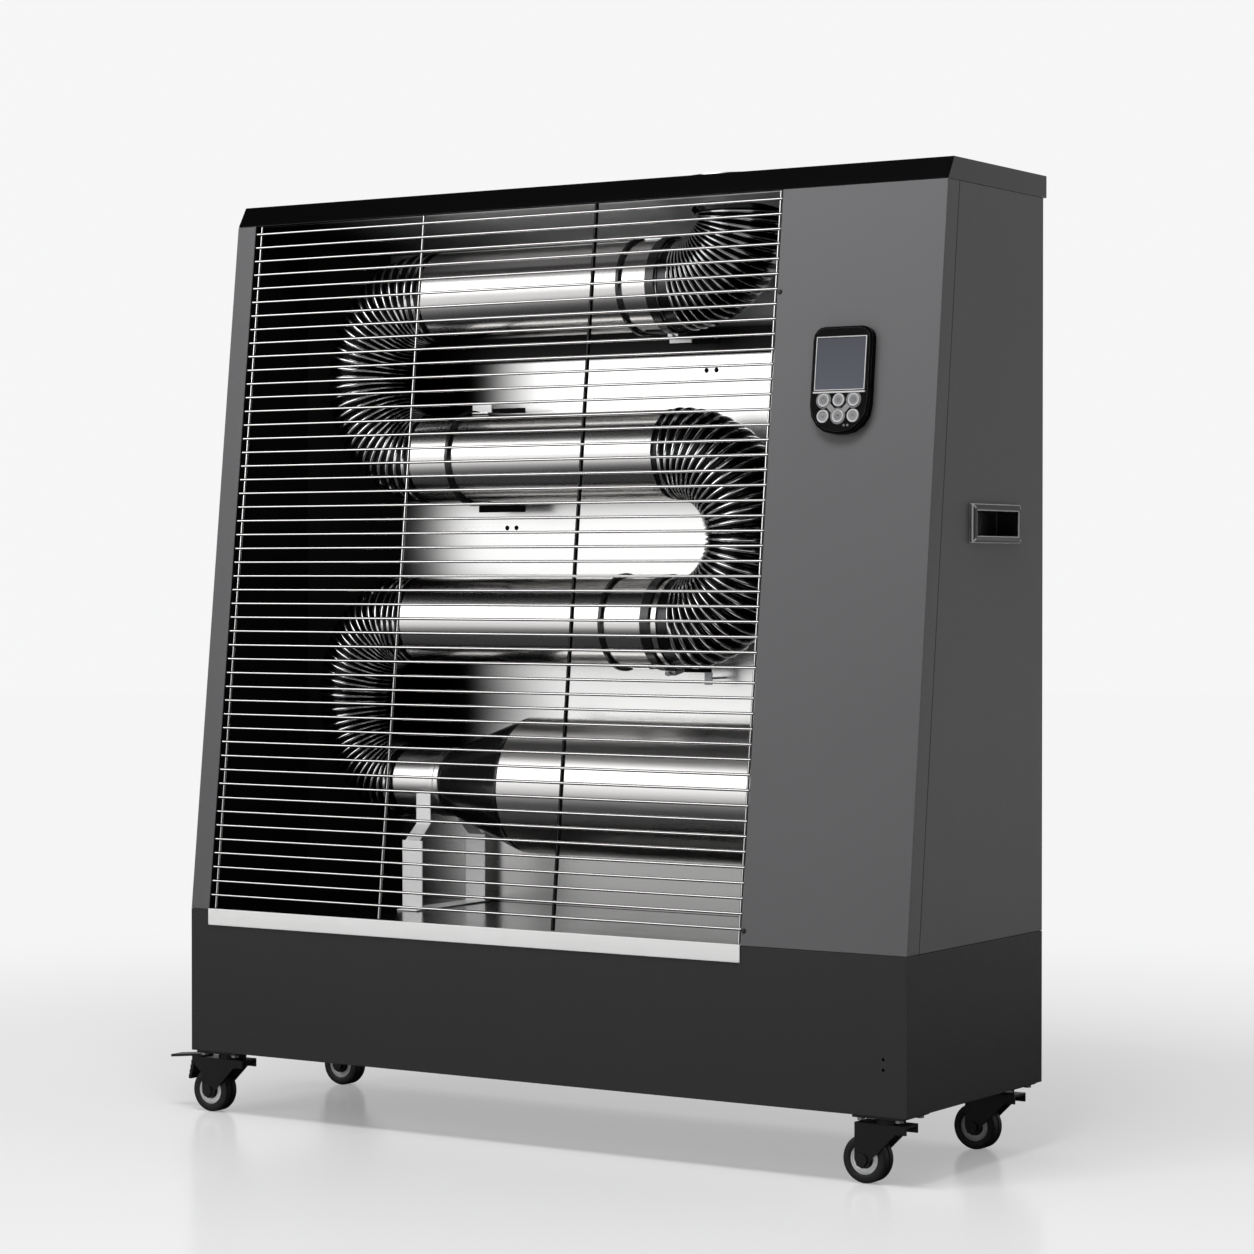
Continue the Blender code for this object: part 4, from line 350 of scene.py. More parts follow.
# %% Piece helpers
BODIES = frame["record"]["behaviour"]["bodies"]
BODY_OF = {node: body for body, nodes in BODIES.items() for node in nodes}
LATHE_SEAM = 1e-6
print("nodes that ride on a body", len(BODY_OF))


def fit(name, bm, finishes, node, angle=35, turn_out=True):
    """Link a bmesh as a piece that stands for a CAD node."""
    if turn_out:
        bmesh.ops.recalc_face_normals(bm, faces=bm.faces)
    mesh = bpy.data.meshes.new(name)
    bm.to_mesh(mesh)
    bm.free()
    for finish in finishes if isinstance(finishes, list) else [finishes]:
        mesh.materials.append(finish)
    mesh.shade_smooth()
    mesh.set_sharp_from_angle(angle=math.radians(angle))
    made = bpy.data.objects.new(name, mesh)
    bpy.context.scene.collection.objects.link(made)
    even = made.modifiers.new("even", "WEIGHTED_NORMAL")
    even.keep_sharp = True
    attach(made, BODY_OF[node])
    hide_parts(node)
    return made


def add(bm, part, place, index):
    """Turn a part to its place, give it one finish and move it into a mesh."""
    bmesh.ops.transform(part, matrix=place, verts=part.verts)
    for face in part.faces:
        face.material_index = index
    mesh = bpy.data.meshes.new("part")
    part.to_mesh(mesh)
    part.free()
    bm.from_mesh(mesh)
    bpy.data.meshes.remove(mesh)


def bar(bm, start, end, radius, sides=12, index=0):
    """A round bar between two points."""
    along, middle = Vector(end) - Vector(start), (Vector(start) + Vector(end)) / 2
    part = bmesh.new()
    bmesh.ops.create_cone(part, cap_ends=True, segments=sides, radius1=radius, radius2=radius,
                          depth=along.length)
    turn = along.to_track_quat("Z", "Y").to_matrix().to_4x4()
    add(bm, part, Matrix.Translation(middle) @ turn, index)


def block(bm, low, high, edge, index=0, place=Matrix.Identity(4)):
    """A block between two corners, with its edges rounded."""
    middle, size = (Vector(low) + Vector(high)) / 2, Vector(high) - Vector(low)
    part = bmesh.new()
    bmesh.ops.create_cube(part, size=1,
                          matrix=Matrix.Translation(middle) @ Matrix.Diagonal((*size, 1)))
    bmesh.ops.bevel(part, geom=part.edges, offset=edge, segments=2, profile=0.5, affect="EDGES",
                    material=-1)
    add(bm, part, place, index)


def lathe(bm, profile, place, steps=64, closed=False, index=0):
    """Turn (run, radius) points about +X, then carry them to their place."""
    part = bmesh.new()
    verts = [part.verts.new((run, 0, radius)) for run, radius in profile]
    pairs = list(zip(verts, verts[1:] + verts[:1]))
    edges = [part.edges.new(pair) for pair in (pairs if closed else pairs[:-1])]
    bmesh.ops.spin(part, geom=verts + edges, cent=(0, 0, 0), axis=(1, 0, 0), angle=2 * math.pi,
                   steps=steps, use_merge=True)
    bmesh.ops.remove_doubles(part, verts=part.verts, dist=LATHE_SEAM)
    add(bm, part, place, index)


def at(x, y, z, axis="X"):
    """A frame at a point whose +X runs along an axis of the object."""
    turn = {"X": Matrix.Identity(4), "Y": Matrix.Rotation(math.pi / 2, 4, "Z"),
            "Z": Matrix.Rotation(-math.pi / 2, 4, "Y")}[axis]
    return Matrix.Translation((x, y, z)) @ turn


# %% [markdown]
# ## Folded sheet with real edges
#
# A plain solid has perfectly sharp edges, which never catch the light. Folded steel has a small
# radius along every bend. The helper copies a CAD node, merges its loose triangles back into
# whole faces, and rounds each sharp edge by a fraction of a millimetre. That thin line of light
# is what tells the eye that a panel is sheet metal.


# %% Folded sheet
SAME_POINT, SAME_PLANE, SHARP = 2e-6, math.radians(0.4), math.radians(30)


def rounded_copy(node, edge, steps=2, rim=-1):
    """A CAD node's shape with its sharp edges rounded, perhaps with a finish of their own."""
    bm = bmesh.new()
    bm.from_mesh(frame["nodes"][node].data)
    bmesh.ops.remove_doubles(bm, verts=bm.verts, dist=SAME_POINT)
    bmesh.ops.dissolve_limit(bm, angle_limit=SAME_PLANE, verts=bm.verts, edges=bm.edges)
    edges = [e for e in bm.edges if len(e.link_faces) == 2 and e.calc_face_angle(0) > SHARP]
    bmesh.ops.bevel(bm, geom=edges, offset=edge, offset_type="OFFSET", segments=steps, profile=0.5,
                    affect="EDGES", clamp_overlap=True, loop_slide=False, material=rim)
    return bm


folded = {
    "base_shell": (base_coat, 0.0007),
    "left_panel": (charcoal, 0.0006),
    "right_panel": (charcoal, 0.0006),
    "top_cap": (gloss_black, 0.0006),
    "base_rear_panel": (base_coat, 0.0004),
    "filler_neck": (black_plastic, 0.0004),
    "power_inlet": (black_plastic, 0.0005),
    "fuel_cap": (red_plastic, 0.0009),
    "control_board": (board_plastic, 0.001),
}
for node, (finish, edge) in folded.items():
    fit(node + "_detail", rounded_copy(node, edge), finish, node, turn_out=False)
print("folded pieces", len(folded))

# %% [markdown]
# The chamber floor is one folded sheet. Its front lip is brushed and bright, and the floor behind
# the wires gets a dark steel, painted shade of the chamber.

# %% Chamber floor
LEVEL_ENOUGH = 0.7
tray = rounded_copy("chamber_floor", 0.0005)
for face in tray.faces:
    face.material_index = int(face.normal.z > LEVEL_ENOUGH)
fit("chamber_floor_detail", tray, [lip_steel, floor_steel], "chamber_floor", turn_out=False)

# %% [markdown]
# The rounded edges of a recessed handle outside the cabinet get a paler finish of their own,
# painted highlight, and the pocket stays black.

# %% Handles
HANDLE_RIM = 0.0058
for node, side in (("handle_right", 1), ("handle_left", -1)):
    handle = rounded_copy(node, 0.0011, 3, rim=1)
    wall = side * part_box(node)[0 if side < 0 else 1].x - HANDLE_RIM
    for face in handle.faces:
        if face.calc_center_median().x * side < wall:
            face.material_index = 0
    fit(node + "_detail", handle, [black_plastic, pale_trim_and_highlight], node, turn_out=False)
    print(node, "rim beyond", round(wall, 4))

# %% [markdown]
# ## Pieces whose solid is already right
#
# The flat linings, the display's pane, the rear panel with its louvres and the hidden burner
# and fuel parts have the right shape as solids. They stay as they are, and only their material
# changes.

# %% Finishes for the kept solids
kept = {
    "rear_panel": charcoal, "reflector_wing": black_lining_and_shade, "partition": black_lining_and_shade,
    "chamber_ceiling": ceiling_sheet, "fuel_tank": galvanised, "fuel_pump": galvanised,
    "fuel_line": copper, "blower_housing": cast_metal, "blower_wheel": cast_metal,
    "nozzle_assembly": cast_metal, "burner_motor": black_plastic,
    "ignition_transformer": black_plastic, "controller_display": display_glass,
}
for node, finish in kept.items():
    slots = frame["nodes"][node].data.materials
    slots.clear()
    slots.append(finish)
print("kept solids", len(kept))

# %% [markdown]
# ## The wire guard
#
# The guard is 49 level wires, spot welded to four uprights that lean back with the front. Each
# wire is a round bar. Wires come off a coil and are never perfectly straight, so each one is
# moved by a tenth of a millimetre or so. Where a wire crosses an upright, a small flattened
# bead stands for the weld. The third upright is thicker and stands in shade, so its chrome is
# painted near black as painted shade. The guard is left out of reflections, because its lines,
# mirrored in every rib of the hoses, would only look like noise.

# %% Wire guard
guard_low, guard_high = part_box("front_grille")
base_low, base_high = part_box("base_shell")
FRONT, BASE_TOP = base_low.y, base_high.z
SLANT = math.atan2(0.0867, 0.788)
WIRES, WIRE, WIRE_PITCH, FIRST_WIRE = 49, 0.00155, 0.01587, 0.0167
UPRIGHTS, UPRIGHT, THICK_UPRIGHT, END_GAP = 4, 0.0016, 0.0023, 0.004
UPRIGHT_DEPTH, BEAD_DEPTH, BEAD = 0.0048, 0.0031, (0.0021, 0.001, 0.0017)
STRAY = 0.00012


def front_at(z):
    """The depth of the slanted front at a height."""
    return FRONT + math.tan(SLANT) * (z - BASE_TOP)


guard = bmesh.new()
spread = guard_high.x - guard_low.x - 2 * END_GAP
spots = [guard_low.x + END_GAP + spread * i / (UPRIGHTS - 1) for i in range(UPRIGHTS)]
foot, head = guard_low.z, guard_high.z
for x in spots:
    thick = x == spots[2]
    bar(guard, (x, front_at(foot) + UPRIGHT_DEPTH, foot), (x, front_at(head) + UPRIGHT_DEPTH, head),
        THICK_UPRIGHT if thick else UPRIGHT, index=int(thick))
for i in range(WIRES):
    z = BASE_TOP + FIRST_WIRE + WIRE_PITCH * i
    start, end = z + STRAY * math.sin(7 * i), z + STRAY * math.sin(5 * i + 2)
    bar(guard, (guard_low.x, front_at(z) + WIRE, start), (guard_high.x, front_at(z) + WIRE, end),
        WIRE, 10)
    for x in spots:
        bead = Matrix.Translation((x, front_at(z) + BEAD_DEPTH, z)) @ Matrix.Diagonal((*BEAD, 1))
        bmesh.ops.create_icosphere(guard, subdivisions=1, radius=1, matrix=bead)
fit("wire_guard", guard, [wire_chrome, upright_shade_chrome], "front_grille", 50).visible_glossy = False
print("guard wires", WIRES, "uprights", len(spots))

# %% [markdown]
# ## Straight tubes, hoops and clamps
#
# Each radiant tube is a rolled stainless pipe. A sleeve joins it to the hose at one end, and it
# shows as a step of 0.7 mm beside a black hoop. A pipe is a profile turned about its axis, so
# the sleeve costs only two more points. The hoops and the worm-drive clamps are separate
# rings, because on the real heater they slip over the pipe.

# %% Straight tubes
PIPE_Y = sum(corner.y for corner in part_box("tube_middle")) / 2
RUNS = ("tube_lower", "tube_middle", "tube_upper")
LEVEL = {node: sum(corner.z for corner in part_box(node)) / 2 for node in RUNS + ("combustion_chamber",)}
SPAN = {node: [corner.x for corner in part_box(node)] for node in RUNS}
SLEEVE = {"tube_lower": (0.0435, 1), "tube_middle": (-0.164, -1), "tube_upper": (0.0665, 1)}
BORE, PIPE_END, PIPE, SLEEVE_END, SLEEVE_SKIN, ROUND = 0.0492, 0.0497, 0.05, 0.0503, 0.0507, 0.0006
HOOP = [(-0.0025, 0.0498), (-0.0025, 0.0536), (-0.0017, 0.0545), (0.0017, 0.0545), (0.0025, 0.0536),
        (0.0025, 0.0498)]
PIPE_STEPS = 128
for node in RUNS:
    (left, right), (seam, side) = SPAN[node], SLEEVE[node]
    plain, sleeved = (PIPE_END, PIPE), (SLEEVE_END, SLEEVE_SKIN)
    near, far = (plain, sleeved) if side > 0 else (sleeved, plain)
    skin = [(left, BORE), (left, near[0]), (left + ROUND, near[1]), (seam, near[1]),
            (seam, far[1]), (right - ROUND, far[1]), (right, far[0]), (right, BORE)]
    pipe = bmesh.new()
    lathe(pipe, skin, at(0, PIPE_Y, LEVEL[node]), PIPE_STEPS, closed=True)
    fit(node + "_pipe", pipe, tube_steel, node)
    hoop = bmesh.new()
    lathe(hoop, HOOP, at(seam, PIPE_Y, LEVEL[node]), PIPE_STEPS, closed=True)
    fit(node + "_hoop", hoop, heat_black, node)
print("pipe levels", {node: round(level, 4) for node, level in LEVEL.items()})

# %% [markdown]
# A worm-drive clamp is a slotted band, the housing of its screw and the screw itself, which
# sticks out at an angle. All three are turned or blocked out at the top of the pipe, and then
# turned round its axis to where the photograph shows them.

# %% Clamps
BAND = [(-0.006, 0), (-0.006, 0.0022), (-0.0052, 0.0028), (0.0052, 0.0028), (0.006, 0.0022),
        (0.006, 0)]
HOUSING_RISE, HOUSING_ROUND, SCREW_START, SCREW_DROP = 0.0052, 0.0012, -0.0165, 0.0002
HOUSING_LOW, HOUSING_HIGH = Vector((-0.0072, -0.0085, -0.0034)), Vector((0.0072, 0.0085, 0.0024))
SCREW = [(0, 0), (0, 0.0036), (0.0008, 0.0042), (0.0052, 0.0042), (0.0052, 0.0024), (0.029, 0.0024),
         (0.029, 0)]


def clamp(name, node, x, turn):
    """A clamp round a pipe's sleeve, with its housing turned to an angle in degrees."""
    bm = bmesh.new()
    place = at(x, PIPE_Y, LEVEL[node])
    lathe(bm, [(run, SLEEVE_SKIN + height) for run, height in BAND], place, PIPE_STEPS, closed=True)
    rise = Vector((0, 0, SLEEVE_SKIN + HOUSING_RISE))
    housing = place @ Matrix.Rotation(math.radians(turn), 4, "X")
    block(bm, rise + HOUSING_LOW, rise + HOUSING_HIGH, HOUSING_ROUND, 1, housing)
    lathe(bm, SCREW, housing @ at(0, SCREW_START, rise.z - SCREW_DROP, "Y"), 12, index=1)
    fit(name, bm, [heat_black, bolt_steel], node)
    print(name, "on", node, "at x", x)


clamp("clamp_lower", "tube_lower", 0.101, 190)
clamp("clamp_upper", "tube_upper", 0.1075, 185)

# %% [markdown]
# Each pipe is held to the back sheet by a pressed saddle with a bright spring clip beside it.
# Only their ends show above and below the pipe, so each is a thin plate behind the pipe, on a
# short stem that reaches the sheet. A plate is given by its left and right ends, its foot and
# head over the pipe's axis, and the number of its finish.

# %% Saddles
SHEET_Y, PLATE_GAP, PLATE, PLATE_ROUND = 0.0868, 0.03, 0.0015, 0.0004
STEM_GAP, STEM_WIDE, STEM_HIGH, STEM_ROUND = 0.029, 0.008, 0.002, 0.0003
# Finish 0 is near black: painted shade behind the pipe. Finish 1 is the bright clip.
SADDLES = {
    "tube_middle": [(-0.171, -0.125, 0.0495, 0.059, 0), (-0.199, -0.172, 0.0495, 0.064, 1),
                    (-0.19, -0.125, -0.0608, -0.0495, 0)],
    "tube_upper": [(0.101, 0.136, -0.0625, -0.051, 0), (0.071, 0.1, -0.06, -0.0525, 1)],
    "tube_lower": [(0.065, 0.126, -0.0562, -0.0485, 0), (0.117, 0.127, -0.0698, -0.0555, 2)],
}
for node, plates in SADDLES.items():
    saddle = bmesh.new()
    for left, right, low, high, index in plates:
        foot, head, middle = LEVEL[node] + low, LEVEL[node] + high, (left + right) / 2
        height = (foot + head) / 2
        block(saddle, (left, SHEET_Y - PLATE_GAP, foot), (right, SHEET_Y - PLATE_GAP + PLATE, head),
              PLATE_ROUND, index)
        block(saddle, (middle - STEM_WIDE / 2, SHEET_Y - STEM_GAP, height - STEM_HIGH / 2),
              (middle + STEM_WIDE / 2, SHEET_Y, height + STEM_HIGH / 2), STEM_ROUND, index)
    fit(node + "_saddle", saddle, [black_lining_and_shade, strap_steel, galvanised], node)
    print(node, "plates", len(plates))

# %% [markdown]
# The back sheet has two pairs of small holes. Each hole gets a thin dark ring, turned from a
# section of four points: painted shade that widens the hole's dark. A pair is given by its
# distance from the cabinet's right side and its drop below the axis of a pipe.

# %% Back sheet
HOLE_RIM = [(-0.0006, 0.0012), (-0.0006, 0.0025), (0.0001, 0.0029), (0.0001, 0.0012)]
PAIRS = (("tube_middle", 0.651, 0.0785), ("tube_upper", 0.379, 0.0895))
SHEET_DEPTH, HALF_PAIR = 0.244, 0.0065
sheet = rounded_copy("reflector_back", 0.0002)
cabinet_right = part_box("right_panel")[1].x
for node, inward, drop in PAIRS:
    for x in (cabinet_right - inward - HALF_PAIR, cabinet_right - inward + HALF_PAIR):
        lathe(sheet, HOLE_RIM, at(x, FRONT + SHEET_DEPTH, LEVEL[node] - drop, "Y"), 24,
              closed=True, index=1)
fit("reflector_sheet", sheet, [mirror_sheet, black_lining_and_shade], "reflector_back")

# %% [markdown]
# ## Ribbed elbows
#
# A flexible elbow is thin metal pressed into close ribs, so that it can be bent by hand. The
# ribs stay square to the bend, open on the outside and shut on the inside. The honest way to
# make that is the same way: turn a straight ribbed hose, then move every vertex onto a bent
# centre line. The line here is a short straight cuff, half an ellipse and another cuff, and for
# the flue a quarter of a circle between two cuffs. The crests are bright, and the grooves get a
# near-black finish as painted shade, so every face takes its finish from its place in the rib.


# %% Ribbed elbows
BEND_STEPS, BEND_START, POINTS_PER_RIB, CREST_POWER = 96, 0.006, 10, 1.6
LIP, LIP_SWELL, CREST = 0.0008, 0.35, (0.29, 0.71)
HOSE, NARROW_HOSE, REACH, NARROW_REACH = 0.0515, 0.0425, 0.086, 0.071
RIB, NARROW_RIB, FLUE_BEND = 0.0042, 0.0038, 0.074
CUFF, LONG_CUFF = 0.005, 0.011


def half_turn(upper_x, lower_x, low_z, side, reach):
    """Centre line of a return bend from the upper end to the lower one."""
    pitch = LEVEL["tube_middle"] - LEVEL["tube_lower"]
    turn_x = (min(upper_x, lower_x) if side < 0 else max(upper_x, lower_x)) + side * BEND_START
    line = [Vector((upper_x, PIPE_Y, low_z + pitch))]
    for i in range(BEND_STEPS + 1):
        angle = math.pi * i / BEND_STEPS
        line.append(Vector((turn_x + side * reach * math.sin(angle), PIPE_Y,
                            low_z + pitch / 2 * (1 + math.cos(angle)))))
    return line + [Vector((lower_x, PIPE_Y, low_z))]


def bent_hose(name, node, line, ribs, height=RIB, radii=(HOSE, HOSE), cuffs=(CUFF, CUFF)):
    """A ribbed hose turned straight and bent along a line."""
    stops = [0.0]
    for a, b in zip(line, line[1:]):
        stops.append(stops[-1] + (b - a).length)
    length, each = stops[-1], POINTS_PER_RIB
    pitch = (length - sum(cuffs)) / ribs
    profile = [(0, 0), (LIP, LIP_SWELL)]
    for i in range(ribs * each + 1):
        swell = abs(math.sin(math.pi * i / each)) ** CREST_POWER
        profile.append((cuffs[0] + pitch * i / each, swell))
    profile += [(length - LIP, LIP_SWELL), (length, 0)]
    bm = bmesh.new()
    lathe(bm, [(run, radii[0] + (radii[1] - radii[0]) * run / length - height * (1 - swell))
               for run, swell in profile], Matrix.Identity(4), 72)
    for face in bm.faces:
        phase = (face.calc_center_median().x - cuffs[0]) / pitch
        # Faces outside a crest take the painted groove shade.
        bright = 0 < phase < ribs and CREST[0] < phase % 1 < CREST[1]
        face.material_index = int(not bright)
    for vert in bm.verts:
        run, across, up = vert.co
        i = min(max(sum(stop <= run for stop in stops) - 1, 0), len(line) - 2)
        share = (run - stops[i]) / (stops[i + 1] - stops[i])
        ends = [line[min(max(k + 1, 1), len(line) - 1)] - line[max(min(k - 1, len(line) - 2), 0)]
                for k in (i, i + 1)]
        along = ends[0].normalized().lerp(ends[1].normalized(), share).normalized()
        outward = along.cross(Vector((0, -1, 0)))
        vert.co = line[i].lerp(line[i + 1], share) + Vector((0, across, 0)) + outward * up
    fit(name, bm, [hose_chrome, groove_shade], node, 60)
    print(name, "length", round(length, 4), "rib pitch", round(pitch, 4))


collar_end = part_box("chamber_reducer")[0].x
bent_hose("hose_lower_left", "elbow_lower_left",
          half_turn(SPAN["tube_lower"][0], collar_end, LEVEL["combustion_chamber"], -1, NARROW_REACH),
          34, NARROW_RIB, (HOSE, NARROW_HOSE))
bent_hose("hose_upper_left", "elbow_upper_left",
          half_turn(SPAN["tube_upper"][0], SPAN["tube_middle"][0], LEVEL["tube_middle"], -1, REACH), 30)
bent_hose("hose_right", "elbow_right",
          half_turn(SPAN["tube_middle"][1], SPAN["tube_lower"][1], LEVEL["tube_lower"], 1, REACH), 31,
          cuffs=(CUFF, LONG_CUFF))
flue_low, flue_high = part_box("flue_outlet")
flue_x = (flue_low.x + flue_high.x) / 2
flue_line = [Vector((SPAN["tube_upper"][1], PIPE_Y, LEVEL["tube_upper"]))]
for i in range(BEND_STEPS // 2 + 1):
    angle = math.pi * i / BEND_STEPS
    flue_line.append(Vector((flue_x - FLUE_BEND + FLUE_BEND * math.sin(angle), PIPE_Y,
                             LEVEL["tube_upper"] + FLUE_BEND - FLUE_BEND * math.cos(angle))))
flue_line.append(Vector((flue_x, PIPE_Y, flue_low.z)))
bent_hose("hose_flue", "flue_elbow", flue_line, 18, cuffs=(LONG_CUFF, CUFF))

# %% [markdown]
# ## Drum, reducer and cradle
#
# The flame burns inside the drum. A cone painted heatproof black brings its bore down to the
# first hose, and a seam band covers the joint with the bright collar. Drum, cone and collar are
# each turned from a section about the same level axis. The collar rests in a bent strap that
# stands on the chamber floor, held by one screw.

# %% Drum, reducer and cradle
drum_axis = at(0, PIPE_Y, LEVEL["combustion_chamber"])
drum_low, drum_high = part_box("combustion_chamber")
DRUM_BORE, DRUM = 0.0755, 0.077
DRUM_SECTION = [(drum_low.x, DRUM_BORE), (drum_low.x, 0.0762), (drum_low.x + 0.0012, DRUM),
                (drum_high.x - 0.001, DRUM), (drum_high.x, 0.0764), (drum_high.x, DRUM_BORE)]
CONE = [(-0.0799, DRUM_BORE), (-0.0799, 0.0764), (-0.0815, 0.0768), (-0.087, 0.0752), (-0.182, 0.0398),
        (-0.1872, 0.0377)]
COLLAR = [(-0.1868, 0.036), (-0.1868, 0.0391), (-0.1874, 0.0397), (-0.1932, 0.0397), (-0.1937, 0.0391),
          (-0.1942, 0.0397), (-0.2008, 0.0397), (-0.2015, 0.039), (-0.2018, 0.0378), (-0.2512, 0.0375),
          (-0.252, 0.0371), (-0.252, 0.036)]
STRAP_SCREW = [(0, 0.0032), (-0.0006, 0.0032), (-0.0022, 0.0022), (-0.0024, 0)]
STRAP_SCREW_Y, STRAP_SCREW_RISE = PIPE_Y - 0.0412, 0.088
for name, section, steps, closed, finish, node in (
        ("drum", DRUM_SECTION, 160, True, drum_steel, "combustion_chamber"),
        ("reducer_cone", CONE, PIPE_STEPS, False, heat_black, "chamber_reducer"),
        ("outlet_collar", COLLAR, PIPE_STEPS, True, drum_steel, "chamber_reducer")):
    turned = bmesh.new()
    lathe(turned, section, drum_axis, steps, closed)
    fit(name, turned, finish, node)
strap = rounded_copy("outlet_cradle", 0.0005)
strap_low, strap_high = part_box("outlet_cradle")
strap_x = (strap_low.x + strap_high.x) / 2
lathe(strap, STRAP_SCREW, at(strap_x, STRAP_SCREW_Y, strap_low.z + STRAP_SCREW_RISE, "Y"), 24, index=1)
fit("cradle_strap", strap, [strap_steel, bolt_steel], "outlet_cradle")
print("drum from", round(drum_low.x, 4), "to", round(drum_high.x, 4))

# %% [markdown]
# ## The controller
#
# The controller is one moulding that snaps into the fascia. Its shell is the solid with
# rounded edges, which get a paler finish than the face as painted highlight. The face carries
# a bright frame round the display, a bright bar under it, and thin silver rings and webs that
# tie three of the keys together. The two smallest discs are lamps. Everything is placed in a
# frame of its own that leans with the fascia, with Y running into the cabinet.

# %% Controller
CONTROLLER_X, CONTROLLER_PROUD, CONTROLLER_RISE = 0.3785, 0.010, 0.5865
leaning = Matrix.Rotation(-SLANT, 4, "X")
panel = (Matrix.Translation((CONTROLLER_X, FRONT, BASE_TOP)) @ leaning
         @ Matrix.Translation((0, -CONTROLLER_PROUD, CONTROLLER_RISE)))
COLUMN, TOP_ROW, LOW_ROW = 0.0177, -0.0212, -0.0378
KEYS = {"button_power": (-COLUMN, TOP_ROW), "button_mode": (0, TOP_ROW),
        "button_timer": (COLUMN, TOP_ROW), "button_down": (-COLUMN, LOW_ROW),
        "button_lock": (0, LOW_ROW), "button_up": (COLUMN, LOW_ROW)}
FRAME_X, FRAME_FOOT, FRAME_HEAD, FRAME_PROUD, HALF_LINE = 0.0291, -0.0105, 0.0447, 0.0008, 0.0005
SUNK = 0.0002
KEY_RING = [(-0.0008, 0.0076), (-0.0008, 0.0085), (SUNK, 0.0087), (SUNK, 0.0076)]
LAMP = [(SUNK, 0.0013), (-0.0004, 0.0013), (-0.0007, 0.0009), (-0.0008, 0)]
LAMP_Z, LAMPS_X = -0.0476, (0.0075, 0.0118)
BAR_LOW, BAR_HIGH = (-0.0305, -0.0012, -0.0139), (0.0305, SUNK, -0.0121)
WEB_LOW, WEB_HIGH = (-0.003, -0.0007, -0.0042), (0.003, SUNK, 0.0042)
WEB_X, WEB_Z, WEB_LEAN = 0.00885, -0.0295, math.radians(43.2)
fit("controller_shell", rounded_copy("controller_bezel", 0.0007, rim=1), [gloss_plastic, edge_highlight_plastic],
    "controller_bezel", turn_out=False)
trim = bmesh.new()
for x in (-FRAME_X, FRAME_X):
    block(trim, (x - HALF_LINE, -FRAME_PROUD, FRAME_FOOT),
          (x + HALF_LINE, SUNK, FRAME_HEAD), 0.0002, 1, panel)
for z in (FRAME_FOOT, FRAME_HEAD):
    block(trim, (-FRAME_X - HALF_LINE, -FRAME_PROUD, z - HALF_LINE),
          (FRAME_X + HALF_LINE, SUNK, z + HALF_LINE), 0.0002, 1, panel)
block(trim, BAR_LOW, BAR_HIGH, 0.0004, 1, panel)
for key in ("button_power", "button_timer", "button_lock"):
    x, z = KEYS[key]
    lathe(trim, KEY_RING, panel @ at(x, 0, z, "Y"), 40, closed=True)
for side in (-1, 1):
    arm = panel @ Matrix.Translation((side * WEB_X, 0, WEB_Z)) @ Matrix.Rotation(side * WEB_LEAN, 4, "Y")
    block(trim, WEB_LOW, WEB_HIGH, 0.0003, 0, arm)
for x in LAMPS_X:
    lathe(trim, LAMP, panel @ at(x, 0, LAMP_Z, "Y"), 20)
fit("controller_trim", trim, [silver_plastic, pale_trim_and_highlight], "controller_bezel")
print("controller at", [round(value, 4) for value in panel.translation])

# %% [markdown]
# ## The six keys
#
# Each key is a low disc with a rim and a dished face, and it moves in by a millimetre. The rim
# gets the pale finish and the dish stays dark. The marks are common ones: power, mode, timer,
# down, lock and up. Each is built from a few thin bars and rings that stand a tenth of a
# millimetre off the dish, and it rides with its own key.


# %% Keys
INK_PROUD, INK_SUNK, HALF_STROKE, RING_WIDTH = 0.00013, 0.0001, 0.0003, 0.0006


def ring(bm, place, radius):
    """A thin printed ring."""
    inner = radius - RING_WIDTH
    lathe(bm, [(-INK_PROUD, inner), (-INK_PROUD, radius), (INK_SUNK, radius), (INK_SUNK, inner)],
          place, 28, closed=True, index=1)


def stroke(bm, place, start, end):
    """A thin printed bar between two (x, z) points."""
    (x0, z0), (x1, z1) = start, end
    lean = Matrix.Rotation(math.atan2(x1 - x0, z1 - z0), 4, "Y")
    middle = place @ Matrix.Translation(((x0 + x1) / 2, 0, (z0 + z1) / 2)) @ lean
    half = math.hypot(x1 - x0, z1 - z0) / 2
    block(bm, (-HALF_STROKE, -INK_PROUD, -half), (HALF_STROKE, INK_SUNK, half), 0.00004, 1, middle)


MARKS = {
    "button_power": [((0, 0.0008), (0, 0.0034))],
    "button_mode": [((-0.0022, 0.0014), (0.0022, 0.0014)), ((-0.0022, 0), (0.0022, 0)),
                    ((-0.0022, -0.0014), (0.0022, -0.0014))],
    "button_timer": [((0, 0), (0, 0.002)), ((0, 0), (0.0014, -0.0008))],
    "button_down": [((-0.002, 0.001), (0, -0.0014)), ((0.002, 0.001), (0, -0.0014))],
    "button_lock": [((-0.0018, 0.0002), (0.0018, 0.0002)), ((-0.0018, -0.0026), (0.0018, -0.0026)),
                    ((-0.0018, 0.0002), (-0.0018, -0.0026)), ((0.0018, 0.0002), (0.0018, -0.0026))],
    "button_up": [((-0.002, -0.001), (0, 0.0014)), ((0.002, -0.001), (0, 0.0014))],
}
RINGS = {"button_power": (0, 0.0026), "button_timer": (0, 0.0028), "button_lock": (0.0007, 0.0013)}
DISH, DISH_RADIUS = -0.0008, 0.0053
KEY = [(0.0046, 0), (0.0046, 0.0068), (-0.0006, 0.007), (-0.0013, 0.0066), (-0.0014, 0.006),
       (-0.0012, 0.0055), (-0.0009, 0.0052), (DISH, 0)]
